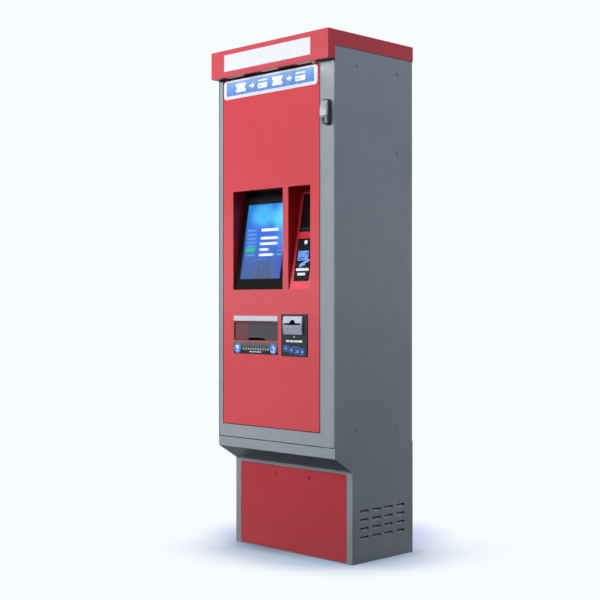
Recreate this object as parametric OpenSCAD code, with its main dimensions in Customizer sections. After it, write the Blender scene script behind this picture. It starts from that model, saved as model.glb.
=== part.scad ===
// Free-standing ticket vending kiosk: a sheet-steel cabinet on a set-back plinth. Its hinged front
// door carries a tilted touch screen, a card point, a ticket tray and a banknote acceptor.
// Millimetres, +Z up, front facing -Y. The origin is on the floor, in the middle of the outer box.
// Modules work in depth behind the cabinet's front face and are set in place by at_front().

/* [Cabinet] */
// Width over the side panels
body_w = 650; // [620:1:700]
// Depth of the upper cabinet, front face to rear face
body_d = 446; // [440:1:500]
// Height over the canopy
body_h = 2000; // [1960:1:2100]
// Thickness of the cabinet sheet
sheet = 2; // [1.5:0.1:2.5]
// Height of the top of the skirt under the door
skirt_top = 446; // [436:1:456]
// Height where the skirt folds back into its chamfer
skirt_fold = 408; // [398:1:418]
// Depth of the ledge at the top of the skirt
ledge_d = 60; // [45:1:75]
// Height of the plinth front
plinth_h = 350; // [344:1:366]
// How far the plinth front stands behind the cabinet front
plinth_in = 95; // [85:1:105]
// Height where the rear panel meets the plinth's rear cover
rear_split = 440; // [420:1:450]
// How far the plinth's rear cover stands proud of the rear panel
rear_step = 4; // [4:0.5:8]
// Thickness of the base plate
base_t = 4; // [3:0.5:8]
// Anchor hole spacing across the width
anchor_w = 500; // [440:1:540]
// Anchor hole spacing along the depth
anchor_d = 180; // [140:1:200]
// Radius of an anchor hole
anchor_r = 7; // [5:0.5:9]
// Radius of the bore in the cable gland
gland_r = 12; // [8:0.5:14]
// Height of the cable gland above the base plate
gland_h = 26; // [20:1:40]

/* [Frame] */
// Leg of the frame angles
angle_w = 30; // [26:1:34]
// Thickness of the frame angles
angle_t = 3; // [2:0.5:4]
// Screw line of the front posts behind the plinth front
post_behind = 26; // [24:1:32]
// Screw line of the rear posts in front of the rear face
post_rear_in = 89; // [70:1:95]
// Height of the lower shelf
lower_shelf_z = 520; // [500:1:560]
// Height of the upper shelf
upper_shelf_z = 950; // [946:1:960]
// Depth of the folded lips of a shelf
shelf_lip = 15; // [8:1:25]
// Width of the jamb flange on the lock side
jamb_w = 20; // [14:1:22]
// Depth of the seal on that jamb
seal_t = 2.6; // [1.5:0.1:4]
// Width of the seal
seal_w = 10; // [6:1:12]
// Radius of a side screw's head
screw_head_r = 5; // [4:0.5:7]
// Height of a side screw's head
screw_head_t = 1.5; // [1:0.1:2]
// Radius of a side screw's shank
screw_r = 2.5; // [2:0.1:3.5]
// Height of the lowest side screws
screw_low_z = 508; // [485:1:515]
// How far the highest side screws are below the top
screw_drop = 119; // [110:1:140]
// Height of the lower middle screw on the rear post
screw_mid_z = 1266; // [1200:1:1300]
// Distance up to the next middle screw
screw_mid_gap = 306; // [250:1:320]

/* [Louvres] */
// Rows of louvres
louvre_rows = 4; // [2:1:5]
// Columns of louvres
louvre_cols = 4; // [2:1:4]
// Length of a louvre
louvre_l = 47; // [40:1:55]
// Height of a louvre's opening
louvre_h = 14; // [12:1:18]
// Gap left open above a louvre's blade
louvre_slot = 5; // [4:0.5:7]
// How far a blade leans into the cabinet
louvre_in = 6; // [4:0.5:8]
// Distance between rows
louvre_pitch_z = 33.3; // [26:0.1:40]
// Distance between columns
louvre_pitch_d = 70.5; // [62:0.5:72]
// First column behind the plinth front
louvre_first_d = 44; // [43:1:48]
// Lower edge of the lowest row
louvre_z0 = 87; // [70:1:100]

/* [Canopy] */
// How far the canopy stands out in front of the door
canopy_out = 39; // [34:1:60]
// Height of the canopy's front
canopy_drop = 108; // [100:1:120]
// Height of the canopy band round the sides and rear
canopy_band = 58; // [50:1:66]
// Gap between the canopy band and the cabinet
canopy_gap = 0.5; // [0.3:0.1:1]
// Width of the sign window
sign_w = 480; // [400:1:540]
// Height of the sign window
sign_h = 62; // [50:1:66]
// Middle of the sign window, from the middle of the cabinet
sign_x = -6; // [-20:1:20]
// Distance from the top down to the sign window
sign_drop = 22; // [18:1:26]
// Overlap of the sign diffuser behind the fascia
sign_lap = 7; // [4:1:10]
// Thickness of the sign diffuser's flange
sign_t = 3; // [2:0.5:4]
// Number of downlights
lamp_n = 3; // [2:1:4]
// Distance between downlights
lamp_pitch = 198; // [150:1:200]
// Length of a downlight
lamp_l = 90; // [60:1:110]
// Width of a downlight
lamp_w = 15; // [10:1:18]
// Height of a downlight's flange above the soffit
lamp_t = 6; // [4:1:10]

/* [Door] */
// Gap round the door
door_gap = 3; // [2.5:0.1:4]
// Depth of the door's folded edges
door_depth = 30; // [28:1:34]
// Pivot line behind the door's left edge
pivot_in = 30; // [28:1:44]
// Pivot line behind the door's front face
pivot_back = 10.5; // [10:0.1:11]
// Radius of a pivot pin
pivot_r = 4; // [3:0.1:4.5]
// Height of a pivot bush
bush_h = 30; // [20:1:40]
// Height of a pivot bracket
bracket_h = 14; // [10:1:18]
// Width of a pivot bracket and its bush
bracket_w = 24; // [18:1:28]
// From the cabinet's left side to the red fascia
stile_left = 28; // [24:1:32]
// From the cabinet's right side to the red fascia
stile_right = 79; // [76:1:84]
// Lower edge of the red fascia
fascia_z0 = 501; // [490:1:520]
// Width of the shadow groove round the fascia
groove = 3.5; // [2:0.1:5]
// Width of the ledge that the fascia rests on
fascia_seat = 14; // [10:1:18]
// Width of the door sign plate
plate_w = 529; // [480:1:532]
// Height of the door sign plate
plate_h = 75; // [60:1:85]
// Middle of the door sign plate, from the middle of the cabinet
plate_x = -27; // [-29:1:-25]
// Corner radius of the door sign plate
plate_r = 15; // [8:1:20]
// Thickness of the door sign plate
plate_t = 2; // [1:0.5:3]
// Gap between the door's top and its sign plate
plate_drop = 5; // [3:1:10]

/* [Recesses] */
// Lower edge of the screen and card recesses
recess_z0 = 1040; // [1036:1:1060]
// Height of the two recesses
recess_h = 394; // [380:1:420]
// Depth of the recesses at their lower edge
recess_foot = 5; // [5:0.5:10]
// Lean of the recess backs
recess_tilt = 9.5; // [7:0.5:12]
// Middle of the screen recess, from the middle of the cabinet
screen_x = -95; // [-105:1:-90]
// Width of the screen recess
screen_w = 286; // [276:1:292]
// Thickness of the touch glass
glass_t = 4; // [3:0.5:6]
// How far the glass and monitor reach past the recess
glass_lap = 8; // [6:1:10]
// Depth of the monitor chassis
monitor_d = 38; // [30:1:45]
// Width of the visible picture
picture_w = 228.6; // [220:0.1:240]
// Height of the visible picture
picture_h = 304.8; // [290:0.1:320]
// Frame of the display panel round the picture
panel_rim = 7; // [5:1:9]
// Thickness of the display panel
panel_t = 10; // [6:1:14]
// Middle of the card recess, from the middle of the cabinet
card_x = 137.5; // [132:0.5:142]
// Width of the card recess
card_w = 119; // [110:1:124]
// Width of the payment window and of the label under it
pay_w = 81; // [70:1:90]
// Height of the payment window along the slope
pay_l = 149; // [130:1:160]
// Lower edge of the payment window along the slope
pay_s = 224; // [215:1:226]
// Depth of the payment terminal behind its plate
pay_d = 40; // [30:1:50]
// How far the terminal reaches past its window
pay_lap = 7; // [5:1:9]
// Lower edge of the card label along the slope
label_s = 31; // [24:1:40]
// Height of the card label along the slope
label_l = 166; // [150:1:172]
// Thickness of the label plates
label_t = 1.5; // [1:0.1:2]

/* [Ticket tray] */
// Middle of the tray, from the middle of the cabinet
tray_x = -106; // [-112:1:-100]
// Width of the tray opening
tray_w = 254; // [240:1:262]
// Lower edge of the tray opening
tray_z0 = 838; // [834:1:845]
// Height of the tray opening
tray_h = 76; // [70:1:78]
// Depth of the tray bin behind the fascia
bin_d = 128; // [115:1:134]
// Depth of the roof over the front of the bin
bin_roof = 84; // [80:1:90]
// Thickness of the flap
flap_t = 4; // [3:0.5:5]
// Radius of the barrel along the top of the flap
flap_r = 4.5; // [4:0.1:5]
// Radius of the flap's pivots
flap_pin_r = 2.5; // [2:0.1:3]
// Gap round the flap
flap_gap = 1.2; // [1:0.1:1.8]
// Length of the bosses that carry the flap
flap_boss = 5; // [3:0.5:8]
// Width of the finger notch at its foot
notch_w = 112; // [90:1:130]
// Height of the finger notch
notch_h = 10; // [8:1:14]
// Height of the trim strip over the tray
trim_h = 20; // [14:1:22]
// Thickness of the trim strip
trim_t = 2; // [1:0.5:3]
// Height of the tray label
tray_label_h = 48; // [40:1:52]
// Gap between the tray opening and the trim or label
tray_rim = 5; // [2:0.5:6]

/* [Note acceptor] */
// Middle of the acceptor plate, from the middle of the cabinet
note_x = 113; // [110:1:118]
// Width of the acceptor plate
note_w = 142; // [136:1:148]
// Lower edge of the acceptor plate
note_z0 = 782; // [776:1:790]
// Height of the acceptor plate
note_h = 162; // [156:1:166]
// Thickness of the acceptor plate
note_t = 3; // [2:0.5:4]
// Middle of the bezel, left of the middle of the plate
bezel_left = 1; // [-4:0.5:4]
// Width of the bezel
bezel_w = 101; // [98:1:110]
// Height of the bezel
bezel_h = 70; // [60:1:76]
// Gap between the bezel and the top of the plate
bezel_drop = 8; // [5:1:12]
// How far the bezel stands out from its plate
bezel_out = 10; // [9:1:14]
// Radius of the bezel's curved front
bezel_r = 140; // [110:5:200]
// Width of the note slot
slot_w = 87; // [80:1:90]
// Height of the note slot
slot_h = 5; // [4.5:0.1:6]
// Depth of the note slot inside the validator
slot_d = 60; // [40:1:80]
// Radius of the thumb notch over the slot
thumb_r = 16; // [12:1:18]
// Depth of the thumb notch
thumb_d = 7; // [4:1:8]
// Width of the validator
valid_w = 100; // [96:1:104]
// Height of the validator
valid_h = 140; // [130:1:144]
// Depth of the validator behind the fascia
valid_d = 98; // [85:1:105]
// Depth of the cash box
cash_d = 140; // [120:1:145]
// How far the cash box slides back
cash_travel = 100; // [80:1:105]
// Wall of the cradle that carries the cash box
cradle_t = 3; // [2:0.5:4]

/* [Handle and lock] */
// Middle of the handle from the cabinet's right side
handle_in = 36; // [34:1:37]
// Gap between the door's top and the escutcheon
handle_drop = 145; // [120:1:300]
// Width of the escutcheon
handle_w = 32; // [30:1:34]
// Height of the escutcheon
handle_h = 93; // [91:1:98]
// How far the escutcheon stands out
handle_out = 16; // [12:1:18]
// Corner radius of the escutcheon
handle_round = 8; // [2:0.5:12]
// Spindle below the escutcheon's top
spindle_drop = 20; // [19:1:22]
// Radius of the spindle
spindle_r = 5; // [4:0.1:5.5]
// Width of the lever
lever_w = 30; // [26:1:30]
// Length of the lever below the spindle
lever_l = 69; // [64:1:70]
// Bend in the lever's front, below the spindle
lever_bend = 40; // [30:1:46]
// How far the lever reaches above the spindle
lever_top = 14; // [12:1:15]
// Depth of the lever
lever_t = 12; // [8:1:14]
// Lock plug above the escutcheon's lower edge
plug_up = 15; // [14:1:16]
// Radius of the lock plug
plug_r = 7; // [5:0.1:8]
// Gap round the plug in the lever's window
window_gap = 2; // [1.5:0.1:3]
// Crank radius of the lock cam
crank_r = 16; // [15:0.5:17]
// Radius of the crank pins
crank_pin_r = 2.5; // [2:0.1:2.8]
// Thickness of the lock cam
cam_t = 4; // [3:0.5:5]
// Radius of a lock rod
rod_r = 4; // [3:0.1:4.5]
// Lock rods behind the door's front face
rod_back = 17; // [16.5:0.1:17.5]
// Height of a rod guide
guide_h = 10; // [8:1:16]

/* [Plinth cover] */
// From the cabinet's sides to the red cover
cover_in = 30; // [26:1:36]
// Lower edge of the cover
cover_z0 = 5; // [4.5:0.5:8]
// Gap between the cover and the top of the plinth
cover_drop = 13; // [10:1:16]
// Gap round the cover
cover_gap = 1; // [0.5:0.1:2]
// Corner radius of the cover
cover_r = 10; // [6:1:14]
// Distance between the two locks
quarter_gap = 186; // [150:1:300]
// Locks below the top of the cover
quarter_drop = 29; // [26:1:31]
// Radius of a lock's head
quarter_head_r = 8; // [7:0.5:10]
// Height of a lock's head
quarter_head_t = 3; // [2:0.5:4]
// Radius of a lock's shank
quarter_r = 6; // [4:0.1:6.5]
// Length of a lock's tongue
tongue_l = 26; // [24:1:27]

/* [Machinery] */
// Width of the control computer
computer_w = 270; // [220:1:280]
// Height of the control computer
computer_h = 80; // [60:1:110]
// Width of the power supply
supply_w = 150; // [120:1:160]
// Height of the power supply
supply_h = 90; // [70:1:110]
// Width of the breaker block
breaker_w = 54; // [36:1:60]
// Height of the breaker block
breaker_h = 66; // [60:1:90]
// Width of the ticket printer
printer_w = 112; // [100:1:120]
// Height of the ticket printer
printer_h = 70; // [60:1:72]
// Depth of the ticket printer
printer_d = 100; // [80:1:105]
// Radius of the platen roller
platen_r = 8; // [6:0.5:9]
// Radius of the platen's journals
journal_r = 3; // [2:0.1:4]
// Radius of a full ticket roll
roll_r = 56; // [45:1:60]
// Width of a ticket roll
roll_w = 80; // [70:1:84]
// Radius of the spindle in the ticket roll
roll_pin_r = 12.5; // [9:0.5:14]
// Side of the fan housing
fan_w = 120; // [100:1:130]
// Depth of the fan housing
fan_d = 25; // [22:1:32]
// Fan below the top of the kiosk
fan_drop = 240; // [220:1:300]
// Number of fan blades
fan_blades = 7; // [5:1:9]

/* [Fits] */
// Radial clearance of a shaft that turns in its hole
run_fit = 0.06; // [0.03:0.01:0.09]
// Clearance round pieces that pass one another
free_fit = 0.5; // [0.4:0.1:0.8]
// Gap between pieces that seat side by side
seat_gap = 0.2; // [0.1:0.05:0.3]

/* [Hidden] */
$fn = 48;
front_y = -(body_d + rear_step - canopy_out) / 2;
side_x = body_w / 2;
in_x = side_x - sheet;
side_top = body_h - sheet;
canopy_z0 = body_h - canopy_drop;
band_z0 = body_h - canopy_band;
roof_z = band_z0 - sheet;
canopy_x = side_x + canopy_gap;
canopy_rear = body_d + canopy_gap;
soffit_top = canopy_z0 + sheet;

post_front = plinth_in + post_behind;
post_rear = body_d - post_rear_in;
frame_d0 = post_front - angle_w / 2;
frame_d1 = post_rear + angle_w / 2;
rail_d0 = frame_d0 + angle_w + seat_gap;
rail_d1 = frame_d1 - angle_w - seat_gap;
rail_x = in_x - angle_w - seat_gap;
screw_top_z = body_h - screw_drop;
screw_spots = [
    [post_front, screw_low_z], [post_front, screw_top_z],
    [post_rear, screw_low_z], [post_rear, screw_mid_z],
    [post_rear, screw_mid_z + screw_mid_gap], [post_rear, screw_top_z]];
louvre_z1 = louvre_z0 + (louvre_rows - 1) * louvre_pitch_z + louvre_h;
louvre_room = 4;

door_x = in_x - door_gap;
door_z0 = skirt_top + door_gap;
door_z1 = canopy_z0 - door_gap;
pivot_x = pivot_in - door_x;
bush_d0 = 2 * sheet;
bush_d1 = 2 * pivot_back - bush_d0;
fascia_x0 = stile_left - side_x;
fascia_x1 = side_x - stile_right;
fascia_z1 = door_z1 - sheet - 1;
seat_lap = 6;
jamb_front = door_depth + seal_t + 0.4;

recess_z1 = recess_z0 + recess_h;
slope_l = recess_h / cos(recess_tilt);
wall_s = sheet / cos(recess_tilt);
flap_d = sheet + flap_r + 0.5;
flap_z = tray_z0 + tray_h - flap_r - 1.5;
tray_z1 = tray_z0 + tray_h;

bezel_x = note_x - bezel_left;
bezel_z1 = note_z0 + note_h - bezel_drop;
bezel_z0 = bezel_z1 - bezel_h;
slot_z = bezel_z0 + bezel_h * 4 / 7;
snout_w = slot_w + 8;
snout_h = slot_h + 14;
valid_z0 = slot_z + 34 - valid_h;
cash_w = valid_w - 2 * cradle_t - 2 * seat_gap;
cash_d0 = sheet + valid_d + seat_gap;

handle_x = side_x - handle_in;
handle_z1 = door_z1 - handle_drop;
handle_z0 = handle_z1 - handle_h;
spindle_z = handle_z1 - spindle_drop;
boss_r = spindle_r + 4;
boss_d = 12;
plug_z = handle_z0 + plug_up;
crank = crank_r * sin(45);
rod_off = (crank + crank_r) / 2;
rod_travel = 2 * crank;
yoke_t = 4;
yoke_half_z = crank_pin_r + 0.9;
yoke_wall = 3.5;
yoke_x0 = crank - crank_pin_r - 0.4;
yoke_x1 = crank_r + crank_pin_r + 0.4;
cam_d0 = rod_back + rod_r + 3;

cover_x = side_x - cover_in;
cover_z1 = plinth_h - cover_drop;
quarter_z = cover_z1 - quarter_drop;
tongue_d0 = plinth_in + 2 * sheet + 0.5;
tongue_t = 3;
tongue_w = 12;

machine_d0 = rail_d0 + 6;
lower_top = lower_shelf_z + sheet;
upper_top = upper_shelf_z + sheet;
computer_x0 = -in_x + angle_w + 4;
supply_x0 = computer_x0 + computer_w + 16;
breaker_x0 = supply_x0 + supply_w + 16;
toggle_r = 3;
toggle_z = lower_top + breaker_h;
printer_x = tray_x - tray_w / 4;
platen_d = machine_d0 + platen_r + 8;
platen_z = upper_top + printer_h - platen_r - 6;
printer_wall = 8;
roll_d = machine_d0 + printer_d + roll_r + 8;
roll_z = upper_top + roll_r + 8;
fan_z = body_h - fan_drop;
fan_d1 = body_d - sheet;
fan_d0 = fan_d1 - fan_d;
fan_bore = fan_w / 2 - 3;
fan_hub = fan_w / 6;
fan_pin_r = 4;

grey = [0.56, 0.59, 0.63];
dark_grey = [0.35, 0.37, 0.40];
red = [0.80, 0.27, 0.31];
black = [0.08, 0.08, 0.09];
charcoal = [0.16, 0.17, 0.19];
steel = [0.72, 0.74, 0.77];
zinc = [0.62, 0.64, 0.66];
white = [0.95, 0.95, 0.95];
blue = [0.33, 0.58, 0.86];
brass_tone = [0.72, 0.60, 0.35];

// Depth of the recess backs at a height
function slope_d(z) = recess_foot + (z - recess_z0) * tan(recess_tilt);

// Puts depth 0 on the cabinet's front face
module at_front() {
    translate([0, front_y, 0]) children();
}

// A block between two corners: width, depth, height
module block(x0, x1, d0, d1, z0, z1) {
    translate([x0, d0, z0]) cube([x1 - x0, d1 - d0, z1 - z0]);
}

// An outline of depth and height, drawn along the width
module along_x(x0, x1, outline) {
    translate([x0, 0, 0]) rotate([90, 0, 90]) linear_extrude(x1 - x0) polygon(outline);
}

// An outline of width and height, drawn along the depth
module along_d(d0, d1) {
    translate([0, d1, 0]) rotate([90, 0, 0]) linear_extrude(d1 - d0) children();
}

module rod_x(x0, x1, d, z, r) {
    translate([x0, d, z]) rotate([0, 90, 0]) cylinder(h = x1 - x0, r = r);
}

module rod_d(x, z, r, d0, d1) {
    translate([x, d0, z]) rotate([-90, 0, 0]) cylinder(h = d1 - d0, r = r);
}

module rod_z(x, d, r, z0, z1) {
    translate([x, d, z0]) cylinder(h = z1 - z0, r = r);
}

// Places pieces on the leaning back of the recesses: depth 0 on the slope, height along it
module on_slope() {
    translate([0, recess_foot, recess_z0]) rotate([-recess_tilt, 0, 0]) children();
}

module round_plate(x0, x1, z0, z1, r) {
    translate([x0 + r, z0]) square([x1 - x0 - 2 * r, z1 - z0]);
    translate([x0, z0 + r]) square([x1 - x0, z1 - z0 - 2 * r]);
    for (x = [x0 + r, x1 - r], z = [z0 + r, z1 - r]) translate([x, z]) circle(r);
}

// The two side panels share one module, drawn at the right and mirrored to the left
module louvre_each() {
    for (row = [0 : louvre_rows - 1], col = [0 : louvre_cols - 1]) {
        translate([0, plinth_in + louvre_first_d + col * louvre_pitch_d, louvre_z0 + row * louvre_pitch_z])
            children();
    }
}

module louvre_blade() {
    lean = louvre_h - louvre_slot;
    along_d(0, louvre_l) polygon([
        [in_x, -1], [side_x, -1], [side_x, 0],
        [side_x - louvre_in, lean], [in_x - louvre_in, lean]]);
}

module side_panel() {
    difference() {
        along_x(in_x, side_x, [
            [0, skirt_fold], [0, side_top], [body_d, side_top],
            [body_d, 0], [plinth_in, 0], [plinth_in, plinth_h]]);
        louvre_each() block(in_x - 1, side_x + 1, 0, louvre_l, 0, louvre_h);
        for (s = screw_spots) rod_x(in_x - 1, side_x + 1, s[0], s[1], screw_r + run_fit);
    }
    louvre_each() louvre_blade();
}

module left_side_panel() {
    color(grey) at_front() mirror([1, 0, 0]) side_panel();
}

module right_side_panel() {
    color(grey) at_front() side_panel();
}

module rear_panel() {
    slot_l = fan_w * 0.75;
    rows = 6;
    pitch = fan_w * 0.15;
    color(grey) at_front() difference() {
        block(-in_x, in_x, body_d - sheet, body_d, rear_split, side_top);
        for (row = [0 : rows - 1]) {
            translate([0, 0, fan_z + (row - (rows - 1) / 2) * pitch])
                block(-slot_l / 2, slot_l / 2, body_d - sheet - 1, body_d + 1, -3, 3);
        }
    }
}

module plinth_rear_cover() {
    color(grey) at_front() difference() {
        block(-side_x, side_x, body_d, body_d + rear_step, 0, rear_split);
        block(-in_x, in_x, body_d - 1, body_d + rear_step - sheet, sheet, rear_split - sheet);
    }
}

module roof_panel() {
    color(grey) at_front() block(-in_x, in_x, 0, body_d - sheet, roof_z, roof_z + sheet);
}

module anchor_spots() {
    middle = (frame_d0 + frame_d1) / 2;
    for (x = [-1, 1], d = [-1, 1]) {
        translate([x * anchor_w / 2, middle + d * anchor_d / 2, 0]) children();
    }
}

module at_gland() {
    translate([0, (frame_d0 + frame_d1) / 2, 0]) children();
}

module base_plate() {
    color(dark_grey) at_front() difference() {
        block(-in_x, in_x, plinth_in + 2 * sheet, body_d, 0, base_t);
        anchor_spots() rod_z(0, 0, anchor_r, -1, base_t + 1);
        at_gland() rod_z(0, 0, gland_r + 4 + run_fit, -1, base_t + 1);
    }
}

module cable_gland() {
    color(black) at_front() at_gland() difference() {
        union() {
            rod_z(0, 0, gland_r + 4, 0, base_t);
            translate([0, 0, base_t]) cylinder(h = gland_h * 0.4, r = gland_r + 10, $fn = 6);
            rod_z(0, 0, gland_r + 5, base_t, base_t + gland_h);
        }
        rod_z(0, 0, gland_r, -1, base_t + gland_h + 1);
    }
}

module front_skirt() {
    lip = plinth_in + post_behind - angle_w / 2 - 2;
    fold = sheet * 1.17;
    color(grey) at_front() difference() {
        along_x(-in_x, in_x, [
            [0, skirt_top], [0, skirt_fold], [plinth_in, plinth_h], [lip, plinth_h],
            [lip, plinth_h + sheet], [plinth_in + 0.5, plinth_h + sheet],
            [sheet, skirt_fold + fold / 2], [sheet, skirt_top - sheet],
            [ledge_d, skirt_top - sheet], [ledge_d, skirt_top]]);
        rod_z(pivot_x, pivot_back, pivot_r + free_fit, skirt_top - sheet - 1, skirt_top + 1);
        rod_z(handle_x + rod_off, rod_back, rod_r + free_fit, skirt_top - sheet - 1, skirt_top + 1);
    }
}

module cover_outline(grow) {
    round_plate(-cover_x - grow, cover_x + grow, cover_z0 - grow, cover_z1 + grow, cover_r);
}

module plinth_front() {
    seat_d = plinth_in + sheet;
    color(grey) at_front() {
        difference() {
            block(-in_x, in_x, plinth_in, seat_d, 0, plinth_h);
            along_d(plinth_in - 1, seat_d + 1) cover_outline(cover_gap);
        }
        difference() {
            block(-in_x, in_x, seat_d, seat_d + sheet, 0, plinth_h);
            block(-cover_x + fascia_seat, cover_x - fascia_seat, seat_d - 1, seat_d + sheet + 1,
                cover_z0 + fascia_seat, cover_z1 - fascia_seat);
        }
    }
}

module plinth_cover() {
    color(red) at_front() difference() {
        along_d(plinth_in, plinth_in + sheet) cover_outline(0);
        for (x = [-1, 1]) {
            rod_d(x * quarter_gap / 2, quarter_z, quarter_r + run_fit, plinth_in - 1, plinth_in + sheet + 1);
        }
    }
}

// Quarter-turn lock: head in front of the cover, shank through it, tongue behind the plinth front
module quarter_lock(x) {
    color(steel) at_front() difference() {
        union() {
            rod_d(x, quarter_z, quarter_head_r, plinth_in - quarter_head_t, plinth_in);
            rod_d(x, quarter_z, quarter_r, plinth_in, tongue_d0 + tongue_t);
            block(x - tongue_w / 2, x + tongue_w / 2, tongue_d0, tongue_d0 + tongue_t,
                quarter_z - tongue_w / 2, quarter_z + tongue_l);
        }
        block(x - 1, x + 1, plinth_in - quarter_head_t - 1, plinth_in - quarter_head_t + 1,
            quarter_z - quarter_r, quarter_z + quarter_r);
    }
}

module plinth_lock_left() {
    quarter_lock(-quarter_gap / 2);
}

module plinth_lock_right() {
    quarter_lock(quarter_gap / 2);
}

// Four angle posts, cut back where the louvre blades lean in
module post(d_leg) {
    blade_x = in_x - louvre_in - louvre_room;
    difference() {
        union() {
            block(in_x - angle_t, in_x, d_leg[0], d_leg[0] + angle_w, base_t, roof_z);
            block(in_x - angle_w, in_x, d_leg[1], d_leg[1] + angle_t, base_t, roof_z);
        }
        block(blade_x, in_x + 1, rail_d1 - 1, frame_d1 + 1,
            louvre_z0 - louvre_room, louvre_z1 + louvre_room);
        for (s = screw_spots) rod_x(in_x - angle_t - 1, in_x + 1, s[0], s[1], screw_r + run_fit);
    }
}

module frame_posts() {
    color(zinc) at_front() for (side = [0, 1]) mirror([side, 0, 0]) {
        post([frame_d0, frame_d0]);
        post([frame_d1 - angle_w, frame_d1 - angle_t]);
    }
}

module frame_rails() {
    levels = [base_t, roof_z - angle_w];
    color(zinc) at_front() {
        for (z = levels, d = [frame_d0, frame_d1 - angle_t]) {
            block(-rail_x, rail_x, d, d + angle_t, z, z + angle_w);
        }
        for (side = [0, 1]) mirror([side, 0, 0]) {
            for (z = levels) block(in_x - angle_t, in_x, rail_d0, rail_d1, z, z + angle_w);
            for (z = [lower_shelf_z, upper_shelf_z]) {
                block(in_x - angle_w, in_x, rail_d0, rail_d1, z - angle_t, z);
            }
        }
    }
}

module shelf(z) {
    block(-in_x + 1, in_x - 1, rail_d0, rail_d1, z, z + sheet);
    for (d = [rail_d0, rail_d1 - sheet]) block(-rail_x, rail_x, d, d + sheet, z - shelf_lip, z);
}

module shelves() {
    color(zinc) at_front() {
        shelf(lower_shelf_z);
        shelf(upper_shelf_z);
    }
}

// Folded jamb behind the door's free edge, from the front post to the seal
module lock_jamb() {
    color(zinc) at_front() {
        block(in_x - sheet, in_x, jamb_front, frame_d0 - seat_gap, door_z0, door_z1);
        block(in_x - jamb_w, in_x, jamb_front, jamb_front + sheet, door_z0, door_z1);
    }
}

module lock_side_seal() {
    color(black) at_front()
        block(in_x - jamb_w + 1, in_x - jamb_w + 1 + seal_w, jamb_front - seal_t, jamb_front, door_z0, door_z1);
}

// Brackets with their pins: one under the skirt ledge, one over the soffit
module door_pivots() {
    under = skirt_top - sheet;
    half = bracket_w / 2;
    reach = bush_h - 4;
    color(steel) at_front() {
        block(pivot_x - half, pivot_x + half, sheet + seat_gap, sheet + bracket_w, under - bracket_h, under);
        rod_z(pivot_x, pivot_back, pivot_r, under - bracket_h, door_z0 + sheet + reach);
        block(pivot_x - half, pivot_x + half, 0, bracket_w, soffit_top, soffit_top + bracket_h);
        rod_z(pivot_x, pivot_back, pivot_r, door_z1 - sheet - reach, soffit_top + bracket_h);
    }
}

module side_screws() {
    color(steel) at_front() for (side = [0, 1], s = screw_spots) mirror([side, 0, 0]) {
        rod_x(side_x, side_x + screw_head_t, s[0], s[1], screw_head_r);
        rod_x(in_x - angle_t, side_x, s[0], s[1], screw_r);
    }
}

module sign_outline(grow) {
    z1 = body_h - sign_drop;
    translate([sign_x - sign_w / 2 - grow, z1 - sign_h - grow])
        square([sign_w + 2 * grow, sign_h + 2 * grow]);
}

module canopy_shell() {
    wall = canopy_x + sheet;
    rear = canopy_rear + sheet;
    color(red) at_front() {
        block(-wall, wall, -canopy_out, rear, body_h - sheet, body_h);
        block(-wall, wall, canopy_rear, rear, band_z0, body_h);
        for (side = [0, 1]) mirror([side, 0, 0]) along_x(canopy_x, wall, [
            [-canopy_out, canopy_z0], [-canopy_out, body_h], [rear, body_h],
            [rear, band_z0], [0, band_z0], [0, canopy_z0]]);
        difference() {
            block(-wall, wall, -canopy_out, sheet - canopy_out, canopy_z0, body_h);
            along_d(-canopy_out - 1, sheet - canopy_out + 1) sign_outline(0);
        }
    }
}

module lamp_each() {
    middle = (sheet - canopy_out) / 2;
    for (i = [0 : lamp_n - 1]) {
        translate([sign_x + (i - (lamp_n - 1) / 2) * lamp_pitch, middle, canopy_z0]) children();
    }
}

module canopy_soffit() {
    color(dark_grey) at_front() difference() {
        union() {
            block(-canopy_x, canopy_x, sheet - canopy_out, 0, canopy_z0, soffit_top);
            block(-in_x, in_x, 0, frame_d0, canopy_z0, soffit_top);
        }
        lamp_each() block(-lamp_l / 2, lamp_l / 2, -lamp_w / 2, lamp_w / 2, -1, sheet + 1);
        rod_z(pivot_x, pivot_back, pivot_r + free_fit, canopy_z0 - 1, soffit_top + 1);
        rod_z(handle_x - rod_off, rod_back, rod_r + free_fit, canopy_z0 - 1, soffit_top + 1);
    }
}

module canopy_lamps() {
    l = lamp_l / 2 - seat_gap;
    w = lamp_w / 2 - seat_gap;
    color(white) at_front() lamp_each() {
        block(-l, l, -w, w, -free_fit, sheet);
        block(-l - 3, l + 3, -w - 3, w + 3, sheet, sheet + lamp_t);
    }
}

module sign_diffuser() {
    back = sheet - canopy_out;
    color(white) at_front() {
        along_d(-canopy_out, back) sign_outline(-seat_gap);
        along_d(back, back + sign_t) sign_outline(sign_lap);
    }
}

// Board of lamps that lights the sign from behind, standing on the soffit
module sign_light_board() {
    board_d = -8;
    count = 12;
    z1 = body_h - sign_drop;
    color(white) at_front() {
        block(sign_x - sign_w / 2, sign_x + sign_w / 2, board_d, board_d + sheet, soffit_top, z1);
        for (i = [0 : count - 1], z = [0.3, 0.7]) {
            translate([sign_x + (i - (count - 1) / 2) * sign_w / count, board_d, z1 - sign_h * z])
                block(-3, 3, -1.5, 0, -3, 3);
        }
    }
}

module control_computer() {
    fins = 15;
    z1 = lower_top + computer_h;
    color(charcoal) at_front() difference() {
        block(computer_x0, computer_x0 + computer_w, machine_d0, rail_d1 - 10, lower_top, z1);
        for (i = [1 : fins]) {
            translate([computer_x0 + i * computer_w / (fins + 1), 0, 0])
                block(-4, 4, machine_d0 - 1, rail_d1, z1 - computer_h / 4, z1 + 1);
        }
    }
}

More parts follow.
